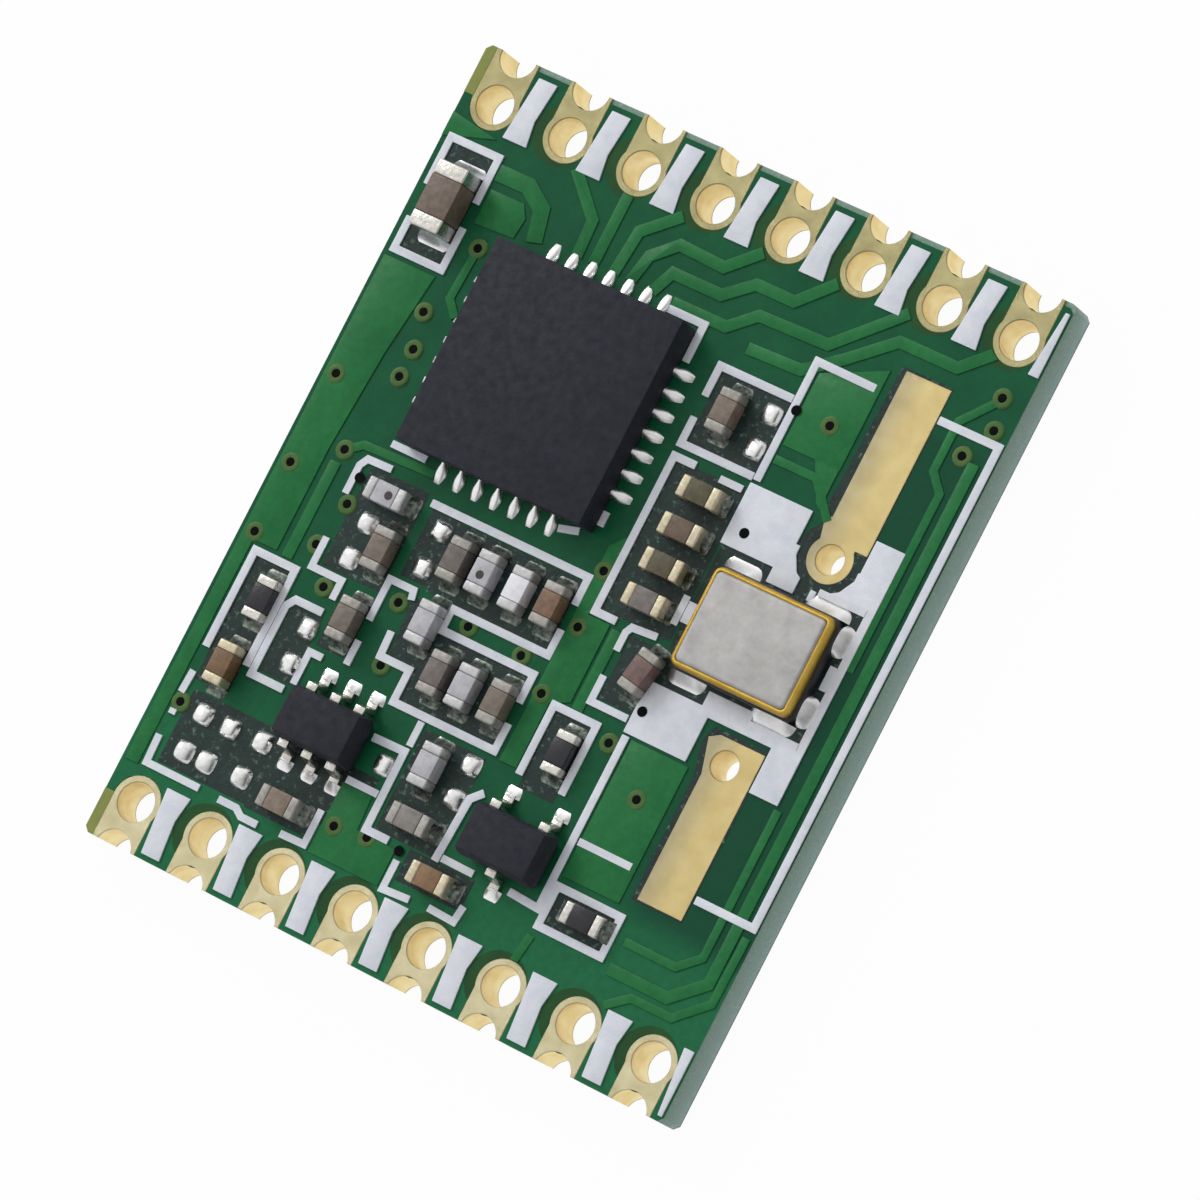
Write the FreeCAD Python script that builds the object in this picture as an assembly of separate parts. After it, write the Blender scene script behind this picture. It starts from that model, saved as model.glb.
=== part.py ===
import FreeCAD, Part
import math
import os

# A small radio transceiver module: a green circuit board with eight plated pads along each
# short edge, a 28-lead transceiver chip, a crystal, two small leaded chips and 26 chip parts.
# Millimetres. X runs along the pad rows, Y along the board, Z up out of the fitted face.
# The origin is the centre of the board's underside.

os.makedirs("parts", exist_ok=True)
V = FreeCAD.Vector
UP = V(0, 0, 1)

# Bare board
PAD_PITCH = 2.0
PADS_PER_ROW = 8
SIDE_MARGIN = 0.85
HOLE_ROW_SPACING = 17.43
UPPER_SETBACK = 1.20
LOWER_SETBACK = 1.07
BOARD_THICKNESS = 1.0
CORNER_CUT = 0.12
COPPER_THICKNESS = 0.035
MASK_SETBACK = 0.12

# Plated edge pads
PAD_HOLE_R = 0.46
LINING_THICKNESS = 0.04
LINING_SIDES = 6
RING_SIDES = 12
RING_WIDTH = 0.15
NOTCH_OFFSET = 1.17
STRIP_WIDTH = 1.12

# Raised tracks and print
TRACK_HEIGHT = 0.03
TRACK_WIDTH = 0.28
FINE_TRACK_WIDTH = 0.2
PRINT_HEIGHT = 0.05
LINE_WIDTH = 0.19

# White blocks between the pads
BLOCK_WIDTH = 0.5
BLOCK_LENGTH = 1.55
BLOCK_START = 0.7
BLOCK_INSET = 0.6
BLOCK_FLARE = 0.15
BLOCK_WAIST = 0.1
BLOCK_EDGE_MARGIN = 0.04

# Two long bare lands for a larger crystal
BAR_WIDTH = 1.18
BAR_X = 5.54
UPPER_BAR_TOP = 7.05
UPPER_BAR_BOTTOM = 3.0
UPPER_BAR_HOLE = (5.37, 2.62)
LOWER_BAR_TOP = -1.80
LOWER_BAR_BOTTOM = -5.80
LOWER_BAR_HOLE = (5.37, -2.38)
BAR_RING_R = 0.56
BAR_HOLE_R = 0.34
BAR_NECK_HALF = 0.45
BAR_SHOULDER = 0.15
BAR_SHOULDER_RISE = (0.4, 0.5)
BAR_FLARE = 0.25
BAR_FLARE_DROP = (0.15, 0.95)
BAR_CLEARANCE = 0.2

# Transceiver chip
CHIP_SIDE = 5.0
CHIP_HEIGHT = 0.8
CHIP_LEADS_PER_SIDE = 7
CHIP_LEAD_PITCH = 0.5
CHIP_LEAD_WIDTH = 0.26
CHIP_LEAD_DEPTH = 0.4
CHIP_LEAD_HEIGHT = 0.06
CHIP_TOE_HEIGHT = 0.25
CHIP_HEAT_PAD_SIDE = 3.2
CHIP_TOE_LENGTH = 0.45

# Crystal
CRYSTAL_LENGTH = 3.2
CRYSTAL_WIDTH = 2.5
CRYSTAL_BASE_HEIGHT = 0.34
CRYSTAL_CORNER_CUT = 0.15
SEAL_MARGIN = 0.05
SEAL_WIDTH = 0.1
SEAL_HEIGHT = 0.3
LID_MARGIN = 0.01
LID_THICKNESS = 0.34
CRYSTAL_JOINT_REACH = 0.35
CRYSTAL_JOINT_HEIGHT = 0.3
CRYSTAL_JOINT_LENGTH = 1.0

# Leaded chips
SOT_LENGTH = 2.0
SOT_WIDTH = 1.25
SOT_BODY_HEIGHT = 0.85
SOT_STANDOFF = 0.06
SOT_DRAFT = 0.09
SOT_PITCH = 0.65
SOT_REACH = 0.42
SOT_FOOT = 0.24
SOT_LEAD_WIDTH = 0.26
SOT_LEAD_THICKNESS = 0.12
SOT_LEAD_LEVEL = 0.46
SOT_SHOULDER = 0.1
SOT_JOINT_REACH = 0.16
SOT_JOINT_HEIGHT = 0.1

# Chip parts: a small size and one larger one
CHIP_PART_LENGTH = 1.0
CHIP_PART_WIDTH = 0.5
CHIP_PART_HEIGHT = 0.5
RESISTOR_HEIGHT = 0.35
TERMINAL_LENGTH = 0.22
LARGE_PART_LENGTH = 1.6
LARGE_PART_WIDTH = 0.8
LARGE_PART_HEIGHT = 0.8
LARGE_TERMINAL_LENGTH = 0.35

# Solder
FILLET_LENGTH = 0.24
FILLET_SHARE = 0.6
BARE_LAND_SIDE = 0.5
BARE_LAND_SLOPE = 0.12
BARE_LAND_HEIGHT = 0.16

# Places on the board, from its centre
CHIP_PLACE = (-2.48, 3.43)
CRYSTAL_PLACE = (4.85, 0.27)
SWITCH_PLACE = (-3.48, -5.48)
TRANSISTOR_PLACE = (1.82, -6.0)

# Name, x, y, turn in degrees from lying along X
CAPACITOR_PLACES = [
    ("capacitor_input", -6.8, 6.19, 90),
    ("capacitor_supply", 1.67, 4.55, 90),
    ("capacitor_bypass_1", 2.05, 2.70, 0),
    ("capacitor_bypass_2", 2.05, 1.80, 0),
    ("capacitor_bypass_3", 2.05, 0.94, 0),
    ("capacitor_bypass_4", 2.05, 0.08, 0),
    ("capacitor_filter_1", -4.31, -1.41, 90),
    ("capacitor_filter_2", -4.28, -3.13, 90),
    ("capacitor_filter_3", -2.52, -0.90, 90),
    ("capacitor_filter_4", 0.02, -0.90, 90),
    ("capacitor_filter_5", -1.67, -3.33, 90),
    ("capacitor_filter_6", -0.05, -3.33, 90),
    ("capacitor_match_1", -0.60, -6.45, 0),
    ("capacitor_match_2", 0.47, -7.41, 0),
    ("capacitor_match_3", -3.64, -7.38, 0),
    ("capacitor_match_4", -6.49, -5.19, 90),
    ("capacitor_crystal", 2.71, -1.36, 80),
]
INDUCTOR_PLACES = [
    ("inductor_choke", -4.76, -0.26, 0),
    ("inductor_filter_1", -1.75, -0.90, 90),
    ("inductor_filter_2", -0.84, -0.90, 90),
    ("inductor_filter_3", -2.50, -2.45, 90),
    ("inductor_filter_4", -0.92, -3.33, 90),
    ("inductor_match", -0.84, -5.22, 90),
]
RESISTOR_PLACES = [
    ("resistor_1", -6.43, -3.52, 90),
    ("resistor_2", 1.84, -3.70, 90),
    ("resistor_3", 4.14, -6.72, 0),
]
LARGE_PARTS = ("capacitor_input",)

# Lands left without a part, each with its own solder
BARE_LAND_PLACES = [
    (2.56, 4.95), (2.56, 4.10), (-5.03, -0.98), (-5.03, -1.85), (-3.32, -0.45), (-3.32, -1.35),
    (-5.17, -3.65), (-5.17, -4.52), (-0.05, -4.78), (-0.05, -5.60), (-6.50, -6.38),
    (-5.75, -6.38), (-6.50, -7.30), (-5.90, -7.30), (-4.95, -7.25), (-1.95, -5.62),
    (-4.87, -6.35),
]

# Tracks as (width, points) and copper areas as outlines
TRACKS = [
    (TRACK_WIDTH, [(-4.45, 8.1), (-3.5, 7.2), (-3.45, 6.3)]),
    (TRACK_WIDTH, [(-3.0, 8.2), (-3.0, 6.3)]),
    (TRACK_WIDTH, [(-1.55, 8.1), (-2.35, 7.4), (-2.45, 6.3)]),
    (TRACK_WIDTH, [(0.6, 8.1), (-0.1, 7.45), (-1.3, 7.5), (-1.85, 7.0), (-2.0, 6.3)]),
    (TRACK_WIDTH, [(2.55, 8.15), (1.8, 7.4), (0.8, 7.4), (0.15, 6.87), (-1.15, 6.87), (-1.4, 6.3)]),
    (TRACK_WIDTH, [(4.4, 8.2), (3.0, 6.85), (1.2, 6.8), (0.6, 6.28), (-0.85, 6.28)]),
    (TRACK_WIDTH, [(6.7, 8.2), (6.0, 7.55), (4.5, 7.55), (3.5, 6.7), (2.7, 6.1), (1.3, 6.05)]),
    (0.4, [(-6.15, 7.3), (-5.3, 7.3), (-4.75, 6.95), (-4.55, 6.2)]),
    (FINE_TRACK_WIDTH, [(-5.72, 5.57), (-5.78, 4.3), (-5.45, 3.95)]),
    (FINE_TRACK_WIDTH, [(-6.38, 0.27), (-6.0, 0.55), (-4.1, 0.62)]),
    (TRACK_WIDTH, [(-6.45, -0.05), (-6.45, -2.45)]),
    (FINE_TRACK_WIDTH, [(7.28, 7.3), (6.6, 6.5), (6.6, 5.3), (6.98, 4.9), (6.98, 0.6)]),
    (FINE_TRACK_WIDTH, [(6.98, -2.75), (6.98, -6.3), (6.5, -6.73), (5.15, -6.73)]),
    (TRACK_WIDTH, [(7.38, 5.8), (7.38, -6.75), (6.65, -7.4), (5.1, -7.4)]),
    (FINE_TRACK_WIDTH, [(7.68, -5.5), (7.66, -7.1), (6.95, -7.75), (5.9, -7.75), (5.4, -8.15)]),
    (FINE_TRACK_WIDTH, [(3.1, -7.5), (3.0, -8.2)]),
    (TRACK_WIDTH, [(1.62, -0.75), (1.62, -2.7)]),
    (FINE_TRACK_WIDTH, [(3.1, 4.1), (4.2, 4.1), (4.9, 3.35)]),
]
COPPER_AREAS = [
    [(-7.85, 7.55), (-6.55, 7.95), (-7.85, 8.15)],
    [(-7.75, 4.6), (-6.35, 4.6), (-6.6, 2.6), (-6.75, 0.2), (-6.75, -2.4), (-7.75, -2.4)],
    [(-7.75, -2.4), (-7.4, -2.4), (-7.4, -8.0), (-7.75, -8.0)],
    [(-6.1, 6.9), (-5.2, 6.9), (-5.0, 6.6), (-5.05, 6.1), (-6.1, 6.05)],
    [(3.12, 6.2), (4.62, 6.9), (4.62, 4.45), (3.12, 4.45)],
    [(3.12, -2.75), (4.62, -2.75), (4.62, -6.05), (3.12, -6.05)],
    [(0.5, 0.85), (0.82, 1.2), (0.82, -0.7), (1.4, -0.7), (1.4, -2.6), (0.95, -2.8), (0.95, -4.4),
     (0.5, -4.4)],
    [(-2.65, -6.35), (-1.85, -6.35), (-1.8, -7.15), (-0.75, -7.15), (-0.75, -8.05), (-2.65, -8.05)],
]

# Printed lines as point lists, and the filled area round the crystal
PRINT_LINES = [
    [(-7.6, 6.4), (-7.6, 7.6), (-6.28, 7.6), (-6.28, 6.45)],
    [(-7.6, 5.6), (-7.6, 4.8), (-6.28, 4.8), (-6.28, 5.85)],
    [(0.92, 4.7), (0.92, 5.45), (2.85, 5.45)],
    [(0.92, 4.2), (0.92, 3.55), (2.85, 3.55)],
    [(1.5, 3.24), (0.92, 3.24), (0.92, -0.57), (1.5, -0.57)],
    [(4.55, 6.4), (2.96, 6.42), (2.96, 3.5)],
    [(6.15, 6.35), (7.73, 6.35), (7.73, -5.25), (6.2, -5.25)],
    [(2.96, -2.72), (2.96, -6.92), (2.15, -6.87)],
    [(1.08, -4.5), (1.08, -2.8), (2.22, -2.8), (2.22, -4.5)],
    [(-3.85, 0.03), (0.42, 0.03), (0.42, -0.65)],
    [(0.4, -1.25), (0.4, -1.88), (-2.2, -1.88), (-2.2, -2.4), (0.3, -2.4), (0.3, -3.1)],
    [(0.3, -3.6), (0.3, -4.27), (-2.45, -4.28), (-2.45, -3.5), (-3.25, -3.5), (-3.28, -2.9)],
    [(-2.5, -5.17), (-1.64, -5.15), (-1.62, -7.05), (-1.0, -7.05)],
    [(-7.22, -5.0), (-7.22, -2.6), (-6.1, -2.6), (-6.1, -5.0)],
    [(-5.0, -3.2), (-5.75, -3.2), (-5.9, -3.4), (-5.9, -5.1), (-5.0, -5.1)],
    [(0.55, -5.2), (0.3, -5.45), (0.22, -7.0)],
    [(-0.85, 6.12), (0.12, 6.12), (0.12, 5.2)],
]
PRINT_BOXES = [(3.05, -7.35, 4.92, -6.2)]
FILL_AREA = (2.85, -2.67, 6.92, 3.42)
FILL_OPENING = (4.95, 1.5, 5.3, 2.2)
FILL_CLEARANCE = 0.08

# Worked out from the above
BOARD_WIDTH = (PADS_PER_ROW - 1) * PAD_PITCH + 2 * SIDE_MARGIN
BOARD_LENGTH = HOLE_ROW_SPACING + UPPER_SETBACK + LOWER_SETBACK
UPPER_EDGE = BOARD_LENGTH / 2
UPPER_ROW = UPPER_EDGE - UPPER_SETBACK
LOWER_ROW = LOWER_SETBACK - BOARD_LENGTH / 2
PAD_XS = [(i - (PADS_PER_ROW - 1) / 2) * PAD_PITCH for i in range(PADS_PER_ROW)]
RING_R = PAD_HOLE_R + RING_WIDTH
LAMINATE_BOTTOM = COPPER_THICKNESS
LAMINATE_TOP = BOARD_THICKNESS - COPPER_THICKNESS
BAR_LOW_X = BAR_X - BAR_WIDTH / 2
BAR_HIGH_X = BAR_X + BAR_WIDTH / 2


def block(x0, y0, z0, x1, y1, z1):
    """A box between two corners."""
    return Part.makeBox(x1 - x0, y1 - y0, z1 - z0, V(x0, y0, z0))


def rod(x, y, z0, z1, radius):
    """A round bar that stands at a point."""
    return Part.makeCylinder(radius, z1 - z0, V(x, y, z0), UP)


def prism(points, z0, z1):
    """A straight solid over a closed outline."""
    corners = [V(x, y, z0) for x, y in points]
    face = Part.Face(Part.makePolygon(corners + corners[:1]))
    return face.extrude(V(0, 0, z1 - z0))


def chamfered_block(length, width, cut, z0, z1):
    """A plate centred on the origin with its upright corners cut off."""
    points = []
    for i, j in ((1, 1), (-1, 1), (-1, -1), (1, -1)):
        along = (i * (length / 2 - cut), j * width / 2)
        across = (i * length / 2, j * (width / 2 - cut))
        points += [across, along] if i * j > 0 else [along, across]
    return prism(points, z0, z1)


def many_sided(x, y, z0, z1, radius, sides):
    """An upright bar whose flat sides touch a circle of this radius from outside."""
    corner_r = radius / math.cos(math.pi / sides)
    turns = [2 * math.pi * (i + 0.5) / sides for i in range(sides)]
    return prism([(x + corner_r * math.cos(t), y + corner_r * math.sin(t)) for t in turns], z0, z1)


def placed(shape, x, y, turn=0.0):
    """A copy of a shape made at the origin, turned about Z and moved to its place."""
    copy = shape.copy()
    move = FreeCAD.Placement(V(x, y, 0), FreeCAD.Rotation(UP, turn))
    copy.Placement = move.multiply(copy.Placement)
    return copy


def united(shapes):
    """One shape from several that touch or overlap, with no leftover seams."""
    if len(shapes) == 1:
        return shapes[0]
    return shapes[0].fuse(shapes[1:]).removeSplitter()


def ribbon(points, width):
    """The outline of a line of constant width with mitred corners and square ends."""
    left, right = [], []
    for i, (x, y) in enumerate(points):
        ways = []
        for a, b in ((i - 1, i), (i, i + 1)):
            if a >= 0 and b < len(points):
                dx = points[b][0] - points[a][0]
                dy = points[b][1] - points[a][1]
                run = math.hypot(dx, dy)
                ways.append((-dy / run, dx / run))
        nx = sum(w[0] for w in ways) / len(ways)
        ny = sum(w[1] for w in ways) / len(ways)
        reach = width / 2 / (nx * nx + ny * ny)
        left.append((x + nx * reach, y + ny * reach))
        right.append((x - nx * reach, y - ny * reach))
    return left + right[::-1]


def board_blank(z0, z1, upper_setback=0.0):
    """The board's outline with its corners cut, before holes and notches."""
    blank = chamfered_block(BOARD_WIDTH, BOARD_LENGTH - upper_setback, CORNER_CUT, z0, z1)
    return placed(blank, 0, -upper_setback / 2)


def hole_sides(x):
    """Sides of a hole lining. The corner holes take pins, and theirs are rounder than the rest."""
    return RING_SIDES if x in (PAD_XS[0], PAD_XS[-1]) else LINING_SIDES


def lining_cutters(z0, z1):
    """The room that the plating needs in the laminate, at each hole and edge notch."""
    radius = PAD_HOLE_R + LINING_THICKNESS
    cutters = []
    for x in PAD_XS:
        for row_y, way in ((UPPER_ROW, 1), (LOWER_ROW, -1)):
            cutters.append(many_sided(x, row_y, z0, z1, radius, hole_sides(x)))
            cutters.append(many_sided(x, row_y + way * NOTCH_OFFSET, z0, z1, radius, LINING_SIDES))
    for x, y in (UPPER_BAR_HOLE, LOWER_BAR_HOLE):
        cutters.append(many_sided(x, y, z0, z1, BAR_HOLE_R + LINING_THICKNESS, LINING_SIDES))
    return cutters


def pad_strip(x, row_y, way, z0, z1, start=0.0):
    """The flat strip of a pad, from its hole out past the board's edge."""
    low, high = sorted((row_y - way * start, row_y + way * (NOTCH_OFFSET + PAD_HOLE_R)))
    left = x - STRIP_WIDTH / 2
    if x == PAD_XS[0] and start == 0:
        left = -BOARD_WIDTH / 2
    return block(left, low, z0, x + STRIP_WIDTH / 2, high, z1)


def pad_outline(x, row_y, way, z0, z1):
    """A ring round the hole with the strip from it to the board's edge."""
    ring = many_sided(x, row_y, z0, z1, RING_R, RING_SIDES)
    return united([ring, pad_strip(x, row_y, way, z0, z1)])


def edge_pad(x, row_y, way):
    """A pad plated on both faces, down its through hole and down its edge notch.

    The hole is round. The lining's outer side, hidden in the laminate, has a few flat sides.
    """
    notch_y = row_y + way * NOTCH_OFFSET
    lining_r = PAD_HOLE_R + LINING_THICKNESS
    metal = [
        pad_outline(x, row_y, way, LAMINATE_TOP, BOARD_THICKNESS),
        pad_strip(x, row_y, way, 0, LAMINATE_BOTTOM, RING_R),
        many_sided(x, row_y, 0, BOARD_THICKNESS, lining_r, hole_sides(x)),
        many_sided(x, notch_y, 0, BOARD_THICKNESS, lining_r, LINING_SIDES),
    ]
    hole = rod(x, row_y, 0, BOARD_THICKNESS, PAD_HOLE_R)
    notch = many_sided(x, notch_y, 0, BOARD_THICKNESS, PAD_HOLE_R, RING_SIDES)
    pad = united(metal).cut([hole, notch])
    return pad.common(board_blank(0, BOARD_THICKNESS)).removeSplitter()


def pad_row(row_y, way):
    return Part.makeCompound([edge_pad(x, row_y, way) for x in PAD_XS])


def crystal_bar(points, ring_x, ring_y, through):
    """A bare gold land with a plated hole through the board at its end."""
    bar = prism(points, LAMINATE_TOP, BOARD_THICKNESS)
    parts = [bar]
    if through:
        parts.append(many_sided(ring_x, ring_y, LAMINATE_TOP, BOARD_THICKNESS, BAR_RING_R, RING_SIDES))
    lining_r = BAR_HOLE_R + LINING_THICKNESS
    parts.append(many_sided(ring_x, ring_y, 0, BOARD_THICKNESS, lining_r, LINING_SIDES))
    hole = many_sided(ring_x, ring_y, 0, BOARD_THICKNESS, BAR_HOLE_R, RING_SIDES)
    return united(parts).cut(hole).removeSplitter()


def upper_bar_outline():
    """The upper land, which narrows to the hole at its lower end."""
    hole_x, hole_y = UPPER_BAR_HOLE
    return [
        (BAR_LOW_X, UPPER_BAR_TOP),
        (BAR_HIGH_X, UPPER_BAR_TOP),
        (BAR_HIGH_X, UPPER_BAR_BOTTOM),
        (hole_x + BAR_NECK_HALF, UPPER_BAR_BOTTOM),
        (hole_x + BAR_NECK_HALF, hole_y),
        (hole_x - BAR_NECK_HALF, hole_y),
        (BAR_LOW_X - BAR_SHOULDER, UPPER_BAR_BOTTOM + BAR_SHOULDER_RISE[0]),
        (BAR_LOW_X, UPPER_BAR_BOTTOM + BAR_SHOULDER_RISE[1]),
    ]


def lower_bar_outline():
    """The lower land, which widens to the left at its upper end."""
    return [
        (BAR_LOW_X, LOWER_BAR_TOP),
        (BAR_HIGH_X, LOWER_BAR_TOP),
        (BAR_HIGH_X, LOWER_BAR_BOTTOM),
        (BAR_LOW_X, LOWER_BAR_BOTTOM),
        (BAR_LOW_X, LOWER_BAR_TOP - BAR_FLARE_DROP[1]),
        (BAR_LOW_X - BAR_FLARE, LOWER_BAR_TOP - BAR_FLARE_DROP[0]),
    ]


def bars():
    upper = crystal_bar(upper_bar_outline(), *UPPER_BAR_HOLE, True)
    lower = crystal_bar(lower_bar_outline(), *LOWER_BAR_HOLE, False)
    return upper, lower


def laminate():
    """The glass board between the two plated faces."""
    return board_blank(LAMINATE_BOTTOM, LAMINATE_TOP).cut(lining_cutters(0, BOARD_THICKNESS))


def pad_windows(z0, z1):
    """Openings in the green coat over both rows of pads."""
    windows = []
    for x in PAD_XS:
        for row_y, way in ((UPPER_ROW, 1), (LOWER_ROW, -1)):
            windows.append(pad_outline(x, row_y, way, z0, z1))
    return windows


def mask_top(upper, lower):
    """The green coat on the fitted face, open at the pads and at the two bars."""
    coat = board_blank(LAMINATE_TOP, BOARD_THICKNESS, MASK_SETBACK)
    openings = pad_windows(LAMINATE_TOP, BOARD_THICKNESS) + [upper, lower]
    for x, y in (UPPER_BAR_HOLE, LOWER_BAR_HOLE):
        openings.append(many_sided(x, y, LAMINATE_TOP, BOARD_THICKNESS, BAR_HOLE_R, RING_SIDES))
    return coat.cut(openings).removeSplitter()


def mask_bottom():
    """The green coat on the underside: a sheet between the rows, and a strip beside each pad."""
    coat = board_blank(0, LAMINATE_BOTTOM)
    low, high = LOWER_ROW + RING_R, UPPER_ROW - RING_R
    half = BOARD_WIDTH / 2
    openings = []
    for x, y in (UPPER_BAR_HOLE, LOWER_BAR_HOLE):
        lining_r = BAR_HOLE_R + LINING_THICKNESS
        openings.append(many_sided(x, y, 0, LAMINATE_BOTTOM, lining_r, LINING_SIDES))
    pieces = [block(-half, low, 0, half, high, LAMINATE_BOTTOM).cut(openings)]
    edges = [-half] + [x + way * STRIP_WIDTH / 2 for x in PAD_XS for way in (-1, 1)] + [half]
    for left, right in zip(edges[::2], edges[1::2]):
        for start, end in ((high, UPPER_EDGE), (-UPPER_EDGE, low)):
            strip = block(left, start, 0, right, end, LAMINATE_BOTTOM)
            pieces.append(strip.common(coat))
    return Part.makeCompound(pieces)


def raised_tracks(obstacles):
    """Tracks and copper areas that show as low ridges under the green coat."""
    level = BOARD_THICKNESS
    pieces = [prism(ribbon(points, width), level, level + TRACK_HEIGHT) for width, points in TRACKS]
    pieces += [prism(points, level, level + TRACK_HEIGHT) for points in COPPER_AREAS]
    pads = pad_windows(level, level + TRACK_HEIGHT)
    joined = united(pieces).common(board_blank(level, level + TRACK_HEIGHT))
    return cleared(joined, pads + obstacles)


def cleared(shape, obstacles):
    """The solids of a shape, each cut only by the obstacles that its box meets."""
    solids = []
    for solid in shape.Solids:
        box = solid.BoundBox
        near = [o for o in obstacles if o.BoundBox.intersect(box)]
        solids += solid.cut(near).Solids if near else [solid]
    return Part.makeCompound(solids)


def crystal_clearances(low, high):
    """Room in the print for the crystal and for the land at each of its corners."""
    x, y = CRYSTAL_PLACE
    half_x = CRYSTAL_LENGTH / 2 + FILL_CLEARANCE
    half_y = CRYSTAL_WIDTH / 2 + FILL_CLEARANCE
    room = [block(x - half_x, y - half_y, low, x + half_x, y + half_y, high)]
    land = CRYSTAL_JOINT_LENGTH + FILL_CLEARANCE
    out = CRYSTAL_JOINT_REACH
    for way_x in (1, -1):
        for way_y in (1, -1):
            x0, x1 = sorted((x + way_x * (half_x + out), x + way_x * (half_x - land)))
            y0, y1 = sorted((y + way_y * (half_y + out), y + way_y * (half_y - land)))
            room.append(block(x0, y0, low, x1, y1, high))
    return room


def print_block(x, row_y, way):
    """The white block between a pad and the next one, waisted to clear the next ring."""
    inner = row_y - way * BLOCK_INSET
    outer = inner + way * BLOCK_LENGTH
    left = x + BLOCK_START
    right = left + BLOCK_WIDTH
    side = BOARD_WIDTH / 2 - BLOCK_EDGE_MARGIN
    points = [
        (left - BLOCK_FLARE, inner),
        (min(right, side), inner),
        (min(right - BLOCK_WAIST, side), row_y),
        (min(right, side), outer),
        (left, outer),
    ]
    return prism(points, BOARD_THICKNESS, BOARD_THICKNESS + PRINT_HEIGHT)


def silkscreen(obstacles):
    """White print: pad blocks, part outlines and the filled area round the crystal."""
    low, high = BOARD_THICKNESS, BOARD_THICKNESS + PRINT_HEIGHT
    pieces = [prism(ribbon(points, LINE_WIDTH), low, high) for points in PRINT_LINES]
    for x0, y0, x1, y1 in PRINT_BOXES:
        frame = block(x0, y0, low, x1, y1, high)
        inside = [x0 + LINE_WIDTH, y0 + LINE_WIDTH, low, x1 - LINE_WIDTH, y1 - LINE_WIDTH, high]
        pieces.append(frame.cut(block(*inside)))
    for x in PAD_XS:
        pieces.append(print_block(x, UPPER_ROW, 1))
        pieces.append(print_block(x, LOWER_ROW, -1))
    x0, y0, x1, y1 = FILL_AREA
    pieces.append(block(x0, y0, low, x1, y1, high))
    left = BAR_LOW_X - BAR_FLARE - BAR_CLEARANCE
    right = BAR_HIGH_X + BLOCK_EDGE_MARGIN
    x0, y0, x1, y1 = FILL_OPENING
    clearances = [
        many_sided(*UPPER_BAR_HOLE, low, high, BAR_RING_R + BAR_CLEARANCE, RING_SIDES),
        block(left, UPPER_BAR_HOLE[1], low, right, UPPER_BAR_TOP, high),
        block(left, LOWER_BAR_BOTTOM, low, right, LOWER_BAR_TOP + BAR_CLEARANCE, high),
        block(x0, y0, low, x1, y1, high),
    ]
    return cleared(united(pieces), clearances + crystal_clearances(low, high) + obstacles)


def fillet_wedge(length, height, width):
    """Solder that climbs an upright face at x = 0 and runs out along X."""
    profile = [
        V(0, -width / 2, BOARD_THICKNESS),
        V(length, -width / 2, BOARD_THICKNESS),
        V(0, -width / 2, BOARD_THICKNESS + height),
    ]
    return Part.Face(Part.makePolygon(profile + profile[:1])).extrude(V(0, width, 0))


def chip_part(name, x, y, turn):
    """Body, two end terminals and two solder joints of a chip part."""
    length, width, height = CHIP_PART_LENGTH, CHIP_PART_WIDTH, CHIP_PART_HEIGHT
    terminal = TERMINAL_LENGTH
    if name in LARGE_PARTS:
        length, width, height = LARGE_PART_LENGTH, LARGE_PART_WIDTH, LARGE_PART_HEIGHT
        terminal = LARGE_TERMINAL_LENGTH
    if name.startswith("resistor"):
        height = RESISTOR_HEIGHT
    top = BOARD_THICKNESS + height
    inner = length / 2 - terminal
    body = block(-inner, -width / 2, BOARD_THICKNESS, inner, width / 2, top)
    ends, joints = [], []
    wedge = fillet_wedge(FILLET_LENGTH, height * FILLET_SHARE, width)
    for way in (1, -1):
        near, far = sorted((way * inner, way * length / 2))
        ends.append(block(near, -width / 2, BOARD_THICKNESS, far, width / 2, top))
        joints.append(placed(wedge, way * length / 2, 0, 0 if way > 0 else 180))
    body, *rest = [placed(shape, x, y, turn) for shape in [body] + ends + joints]
    return body, rest[:2], rest[2:]


def side_places():
    """Each lead of the transceiver chip as (offset along its side, turn of that side)."""
    middle = (CHIP_LEADS_PER_SIDE - 1) / 2
    offsets = [(i - middle) * CHIP_LEAD_PITCH for i in range(CHIP_LEADS_PER_SIDE)]
    return [(offset, turn) for turn in (0, 90, 180, 270) for offset in offsets]


def chip_leads():
    low, high = BOARD_THICKNESS, BOARD_THICKNESS + CHIP_LEAD_HEIGHT
    leads = []
    for offset, turn in side_places():
        near, far = CHIP_SIDE / 2 - CHIP_LEAD_DEPTH, CHIP_SIDE / 2
        half = CHIP_LEAD_WIDTH / 2
        lead = block(near, offset - half, low, far, offset + half, high)
        leads.append(placed(placed(lead, 0, 0, turn), *CHIP_PLACE))
    return leads


def chip_toes():
    toes = []
    for offset, turn in side_places():
        toe = fillet_wedge(CHIP_TOE_LENGTH, CHIP_TOE_HEIGHT, CHIP_LEAD_WIDTH)
        toe.translate(V(CHIP_SIDE / 2, offset, 0))
        toes.append(placed(placed(toe, 0, 0, turn), *CHIP_PLACE))
    return toes


def chip_heat_pad():
    half = CHIP_HEAT_PAD_SIDE / 2
    pad = block(-half, -half, BOARD_THICKNESS, half, half, BOARD_THICKNESS + CHIP_LEAD_HEIGHT)
    return placed(pad, *CHIP_PLACE)


def chip_body():
    """The moulded body, which stands on its leads and its heat pad."""
    half = CHIP_SIDE / 2
    low = BOARD_THICKNESS + CHIP_LEAD_HEIGHT
    return placed(block(-half, -half, low, half, half, low + CHIP_HEIGHT), *CHIP_PLACE)


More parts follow.
